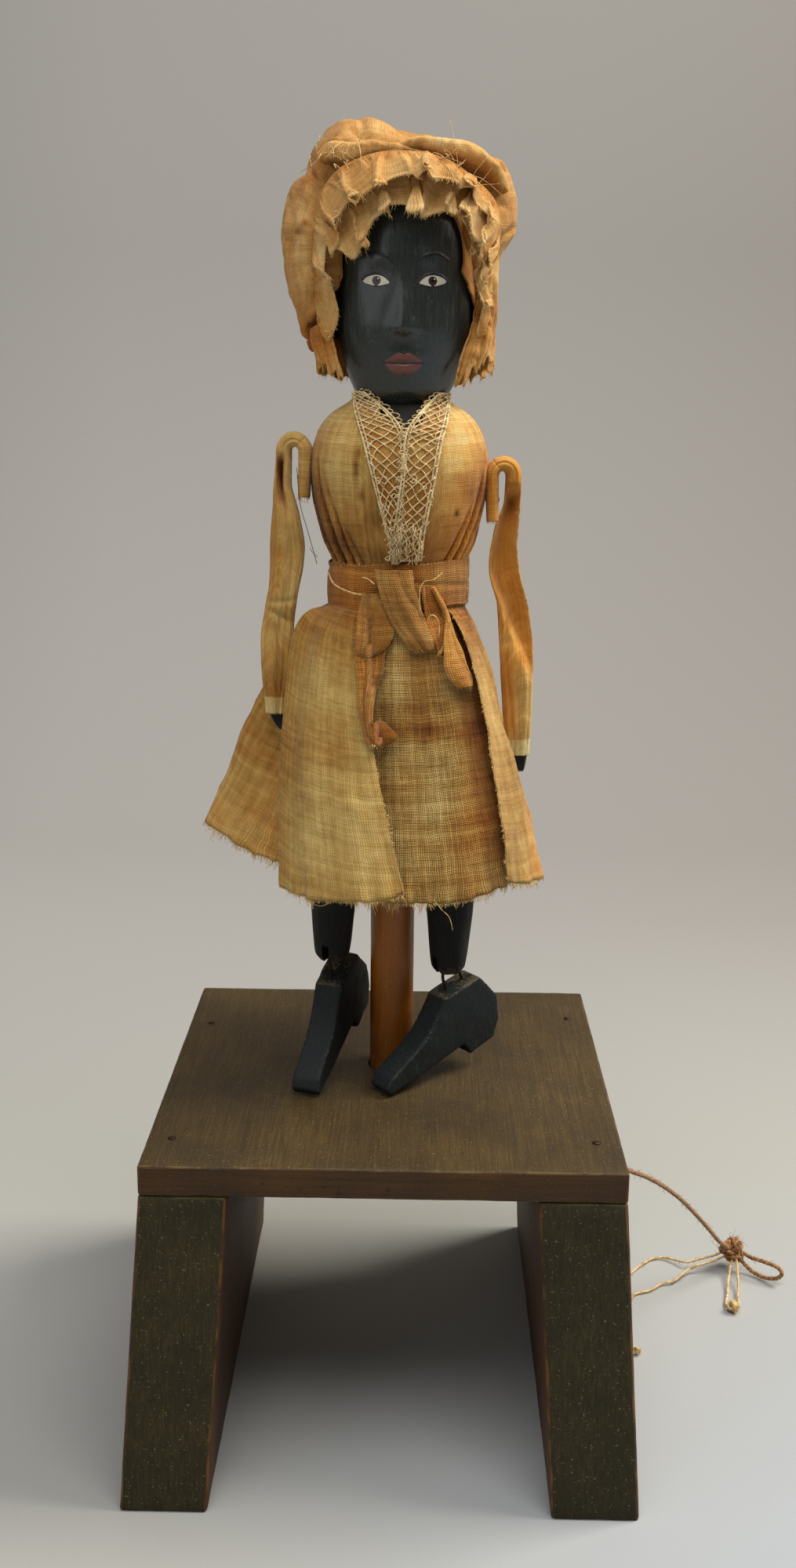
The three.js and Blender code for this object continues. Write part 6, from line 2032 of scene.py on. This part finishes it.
# Arms
SHOULDERS = {"left": (-1, (-27.1, 3, 272.7)), "right": (1, (29.7, 3, 266.8))}
SLEEVE_EDGES = {
    # outer and inner edge: how far out from the shoulder fold, and how far down from it
    "left": (
        [(5.5, 8.7), (6.5, 22.7), (7.1, 36.7), (8.5, 44.7), (9.5, 50.7), (9.3, 61.7), (8.3, 72.1)],
        [(1.1, 8.7), (-1.5, 18.7), (-2.5, 26.7), (-0.1, 41.7), (0.7, 50.7), (1.3, 60.7), (2.8, 72.1)]),
    "right": (
        [(4.7, 8.8), (4.3, 18.8), (5.5, 27.8), (7.7, 35.8), (9.3, 46.8), (9.7, 60.8), (9.2, 77.4)],
        [(0.5, 6.8), (-1.9, 14.8), (-3.1, 24.8), (-0.7, 33.8), (0.9, 54.8), (1.9, 66.8), (3.1, 77.4)]),
}


def make_sleeve(side):
    """One strip of cloth: tacked flat to the bust, up over the fold and down as a flattened sleeve."""
    sign, fold = SHOULDERS[side]
    outer, inner = SLEEVE_EDGES[side]
    length = outer[-1][1]
    flap = 12.0
    bend = 2.9
    arch = math.pi * bend
    total = flap + arch + length
    seed = 5 + sign

    def hollow(across, down):
        """How far the front is folded open, so that the inside of the back shows."""
        if side == "right":
            return ease(1, 7, down) * ease(49 - 13 * across, 36 - 13 * across, down)
        return ease(0, 3, down) * ease(19 + 9 * across, 9 + 9 * across, down) * ease(0.5, -0.3, across)

    def spine(s):
        """Middle of the strip, its half width and its half depth at a distance along it."""
        if s < flap:
            w = s / flap
            return Vector((-bend * mix(0.9, 1.04, w), 0, -(flap - s))), mix(1.45, 1.7, w), mix(3.6, 4.6, w)
        if s < flap + arch:
            a = math.pi * (s - flap) / arch
            w = ease(0, 1, (s - flap) / arch)
            return (Vector((-bend * math.cos(a) * mix(1.04, 1.0, w), 0, bend * math.sin(a) * 1.15)),
                    mix(1.7, 2.0, w), mix(4.6, 3.8, w))
        down = s - flap - arch
        low, high = table_at(inner, down), table_at(outer, down)
        w = ease(0, 12, down)
        centre = mix(bend, (low + high) / 2, w)
        return Vector((centre, 0, -down)), mix(2.0, (high - low) / 2, w), mix(3.8, 2.6, ease(4, 30, down))

    def section(u, s):
        """Across from the inner to the outer edge, and depth, round the flattened strip."""
        angle = 2 * math.pi * u
        across, deep = math.cos(angle), math.sin(angle)
        shape = math.copysign(abs(across) ** 0.8, across)
        thick = math.copysign(abs(deep) ** 0.7, deep)
        down = s - flap - arch
        if deep < 0 and down > 0:
            open_out = hollow(shape, down)
            thick = mix(thick, 0.86 * (1 - shape * shape), open_out)
        return shape, thick

    def face(u, v):
        s = total * v
        here, half, deep = spine(s)
        before, after = spine(max(s - 1, 0))[0], spine(min(s + 1, total))[0]
        along = (after - before).normalized()
        out = Vector((-along.z, 0, along.x)) * -1
        shape, thick = section(u, s)
        down = s - flap - arch
        crease = 0.4 * crumple(8 * shape + seed, 8 * thick, s * 0.3, 3.6) * ease(4, 12, s)
        bent = -0.55 * bell(down - 44.5 - 1.5 * shape, 1.1) - 0.35 * bell(down - 40.5 + shape, 0.9)
        groove = -0.5 * bell(shape - 0.45 - 0.15 * math.sin(s * 0.11), 0.13) * ease(16, 26, down)
        relief = crease + (bent if side == "left" else 0.5 * bent) * ease(0.1, 0.5, abs(thick)) + groove
        p = here + out * shape * (half + 0.35 * crease)
        p += Vector((0, 1, 0)) * (thick * deep + math.copysign(1, thick) * relief * abs(thick))
        wave = 0.35 * math.sin(s * 0.33 + seed) * ease(20, 30, s)
        return Vector((fold[0] + sign * p.x, fold[1] + p.y + wave, fold[2] + p.z))

    def age_shade_and_light(p, u, v):
        s = total * v
        down = s - flap - arch
        across = section(u, s)[0]
        cuff = ease(length - 5.0, length - 4.4, down)
        # deep paints the inside of the folded-open front darker and warmer: painted shade in the hollow
        deep = hollow(across, down) * (1 - across * across) if math.sin(2 * math.pi * u) < 0 else 0
        inward = clamp(-across)
        if side == "left":
            brown = 0.22 * ease(46, 66, down) + 0.24 * inward * ease(2, 10, down) * ease(60, 30, down)
            return (mix(0.3 + brown + 0.3 * deep + 0.12 * ease(10, 0, s), 0.16, cuff),
                    mix(0.25 + 1.5 * brown + 0.7 * deep, 0.0, cuff))
        low = ease(48, 60, down) * ease(0.35, 0.0, across)
        return (mix(0.26 + 0.2 * deep + 0.16 * low + 0.08 * ease(10, 0, s), 0.1, cuff),
                mix(0.95 + 0.4 * deep - 0.8 * low, 0.0, cuff))

    # the tacked flap keeps still on the bust, and the sleeve is a piece of its own from where it leaves the
    # flap
    rows = 300
    still = round(rows * (flap + 0.3 * arch) / total)
    share = still / rows
    flap_sheet = Sheet(f"flap_cloth_{side}", lambda u, v: face(u, share * v), 96, still,
                       lambda p, u, v: age_shade_and_light(p, u, share * v), 0.35)
    flap_piece = dress(flap_sheet.build(), "doll", "muslin", muslin, f"shoulder_fold_{side}")
    sheet = Sheet(f"sleeve_cloth_{side}", lambda u, v: face(u, mix(share, 1, v)), 96, rows - still,
                  lambda p, u, v: age_shade_and_light(p, u, mix(share, 1, v)), 0.35)
    piece = sheet.build()
    dress(piece, None, "muslin", muslin, f"sleeve_{side}")
    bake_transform(piece)
    roots = edge_roots(sheet.edge("hem"), 3.4, 81 + sign, 0.4)
    raw = [row[sheet.across // 2] for k, row in enumerate(sheet.points)
           if 8 < (k + still) / rows * total - flap - arch < 50]
    roots += edge_roots((raw, [Vector((-sign, 0, 0))] * len(raw)), 4.0, 84 + sign, 0.7)
    fray = thread_field(f"sleeve_fray_{side}", roots, f"arm_{side}", 83 + sign, reach=(0.3, 1.4))
    end_fray = thread_field(f"flap_fray_{side}", edge_roots(flap_sheet.edge("top"), 4.0, 88 + sign), "doll",
                            89 + sign, reach=(0.4, 1.6))
    declare_sheet(sheet)


def make_tack(side):
    """A small headed pin through the flap into the shoulder."""
    sign, fold = SHOULDERS[side]
    low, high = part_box(f"shoulder_tack_{side}")
    middle = [(a + b) / 2 / MM for a, b in zip(low, high)]
    flap_face = fold[0] - sign * 1.3
    inner_end = (high[0] if sign < 0 else low[0]) / MM
    made, faces = [], []
    profile = [
        (flap_face + sign * 0.45, 0.05), (flap_face + sign * 0.42, 0.5), (flap_face + sign * 0.25, 0.8),
        (flap_face, 0.85), (flap_face - sign * 0.1, 0.4), (inner_end, 0.3), (inner_end - sign * 0.3, 0.05),
    ]
    for x, radius in profile:
        for k in range(16):
            a = 2 * math.pi * k / 16
            made.append((x, middle[1] + radius * math.cos(a), middle[2] + radius * math.sin(a)))
    faces = grid_faces(16, len(profile) - 1, around=True)
    faces.append(tuple(range(16)))
    faces.append(tuple(range(len(made) - 16, len(made))))
    dress(turned_out(add_mesh(f"tack_{side}", made, faces)), "doll", "dull_steel", rusty_steel,
          f"shoulder_tack_{side}")


# where the fingertips lie across the hand, from its inner edge (-1) to its outer one (1)
FINGERTIPS = {"left": -1.0, "right": 0.5}


def make_hand(side):
    sign, fold = SHOULDERS[side]
    outer, inner = SLEEVE_EDGES[side]
    cuff = fold[2] - outer[-1][1]
    middle = fold[0] + sign * (outer[-1][0] + inner[-1][0]) / 2
    half = (outer[-1][0] - inner[-1][0]) / 2 - 0.25
    points, faces, wear = rounded_box((half, 1.0, 7.0), 0.8, 0.6, 40 + sign, 0.3)
    tip = half * FINGERTIPS[side]
    made = []
    for p in points:
        low = clamp((2 - p.z) / 9)
        outward = tip + (sign * p.x - tip) * (1 - 0.72 * low ** 2.4)
        made.append((middle + sign * outward, fold[1] + p.y * (1 - 0.3 * low), cuff + 2 + p.z))
    hand = add_mesh(f"{side}_hand", made, faces, marks={"edge": wear})
    dress(hand, f"arm_{side}", "dark_painted_wood", shoe_paint, f"hand_{side}")


for side_name in SHOULDERS:
    make_tack(side_name)
    make_sleeve(side_name)
    make_hand(side_name)


# CAD nodes that show as they are
NODE_FINISH = {
    "torso": chest_paint_and_shade, "hip_pin": rusty_steel, "pivot_screw": rusty_steel, "thrust_washer": rusty_steel,
    "bearing_rail": leg_wood, "rail_nail_left": rusty_steel, "rail_nail_right": rusty_steel,
    "ankle_pin_left": rusty_steel, "ankle_pin_right": rusty_steel,
}
for node_name, finish_of in NODE_FINISH.items():
    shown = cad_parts[node_name]
    if not shown.data.materials:
        shown.data.materials.append(finish_of)
    for place in shown.material_slots:
        place.link = "OBJECT"
        place.material = finish_of


# Floor, backdrop and light
def make_studio():
    half_width, height = 2600, 2600
    front, back, bend = -1500, 560, 420
    turns = [math.pi / 2 * k / 24 for k in range(25)]
    profile = [(front, 0)] + [(back + bend * math.sin(a), bend - bend * math.cos(a)) for a in turns]
    profile.append((back + bend, height))
    points, faces = [], []
    for y, z in profile:
        points += [(-half_width, y, z), (half_width, y, z)]
    for k in range(len(profile) - 1):
        faces.append((2 * k, 2 * k + 1, 2 * k + 3, 2 * k + 2))
    floor = add_mesh("backdrop", points, faces)
    s = Surface("backdrop_paper_and_light")
    fine = s.noise(s.place((1, 1, 1)), 0.9, 2)
    split = s.add("ShaderNodeSeparateXYZ", None, Vector=s.place())
    to_right = s.level(split.outputs[0], -60, 260)
    to_front = s.level(split.outputs[1], 120, -120)
    # the wall is painted darker towards the right: painted shade
    wall = s.blend(s.level(split.outputs[0], -260, 420), (183, 180, 176), (147, 143, 139))
    # the floor is painted bluer towards the front right: painted light
    floor_tone_and_light = s.blend(s.times(to_right, to_front), (176, 175, 168), (170, 181, 196))
    colour = s.blend(s.level(split.outputs[1], 100, 420), floor_tone_and_light, wall)
    colour = s.blend(s.level(fine, 0.3, 0.7, 0.0, 0.1), colour, (150, 148, 142))
    floor.data.materials.append(s.finish(colour, 0.85, s.bump(fine, 0.05, 0.1)))

    world = bpy.data.worlds.new("studio")
    bpy.context.scene.world = world
    world.use_nodes = True
    background = world.node_tree.nodes["Background"]
    background.inputs["Color"].default_value = linear((226, 226, 222))
    background.inputs["Strength"].default_value = 0.13

    def area(name, where, target, size, power, colour=(255, 255, 255)):
        data = bpy.data.lights.new(name, "AREA")
        data.shape = "RECTANGLE"
        data.size, data.size_y = size
        data.energy = power
        data.color = linear(colour)[:3]
        made = bpy.data.objects.new(name, data)
        bpy.context.scene.collection.objects.link(made)
        made.location = Vector(where) * MM
        made.rotation_euler = (Vector(target) - Vector(where)).to_track_quat("-Z", "Y").to_euler()

    area("key", (910, 170, 1160), (0, 0, 190), (0.62, 0.62), 20.5, (255, 250, 240))
    area("overhead", (120, -420, 1150), (0, 0, 120), (0.8, 0.6), 8.2, (252, 252, 255))
    area("fill", (-620, -420, 520), (0, 0, 200), (0.7, 0.7), 1.5, (246, 248, 255))


make_studio()
bpy.context.scene.view_settings.view_transform = "Standard"
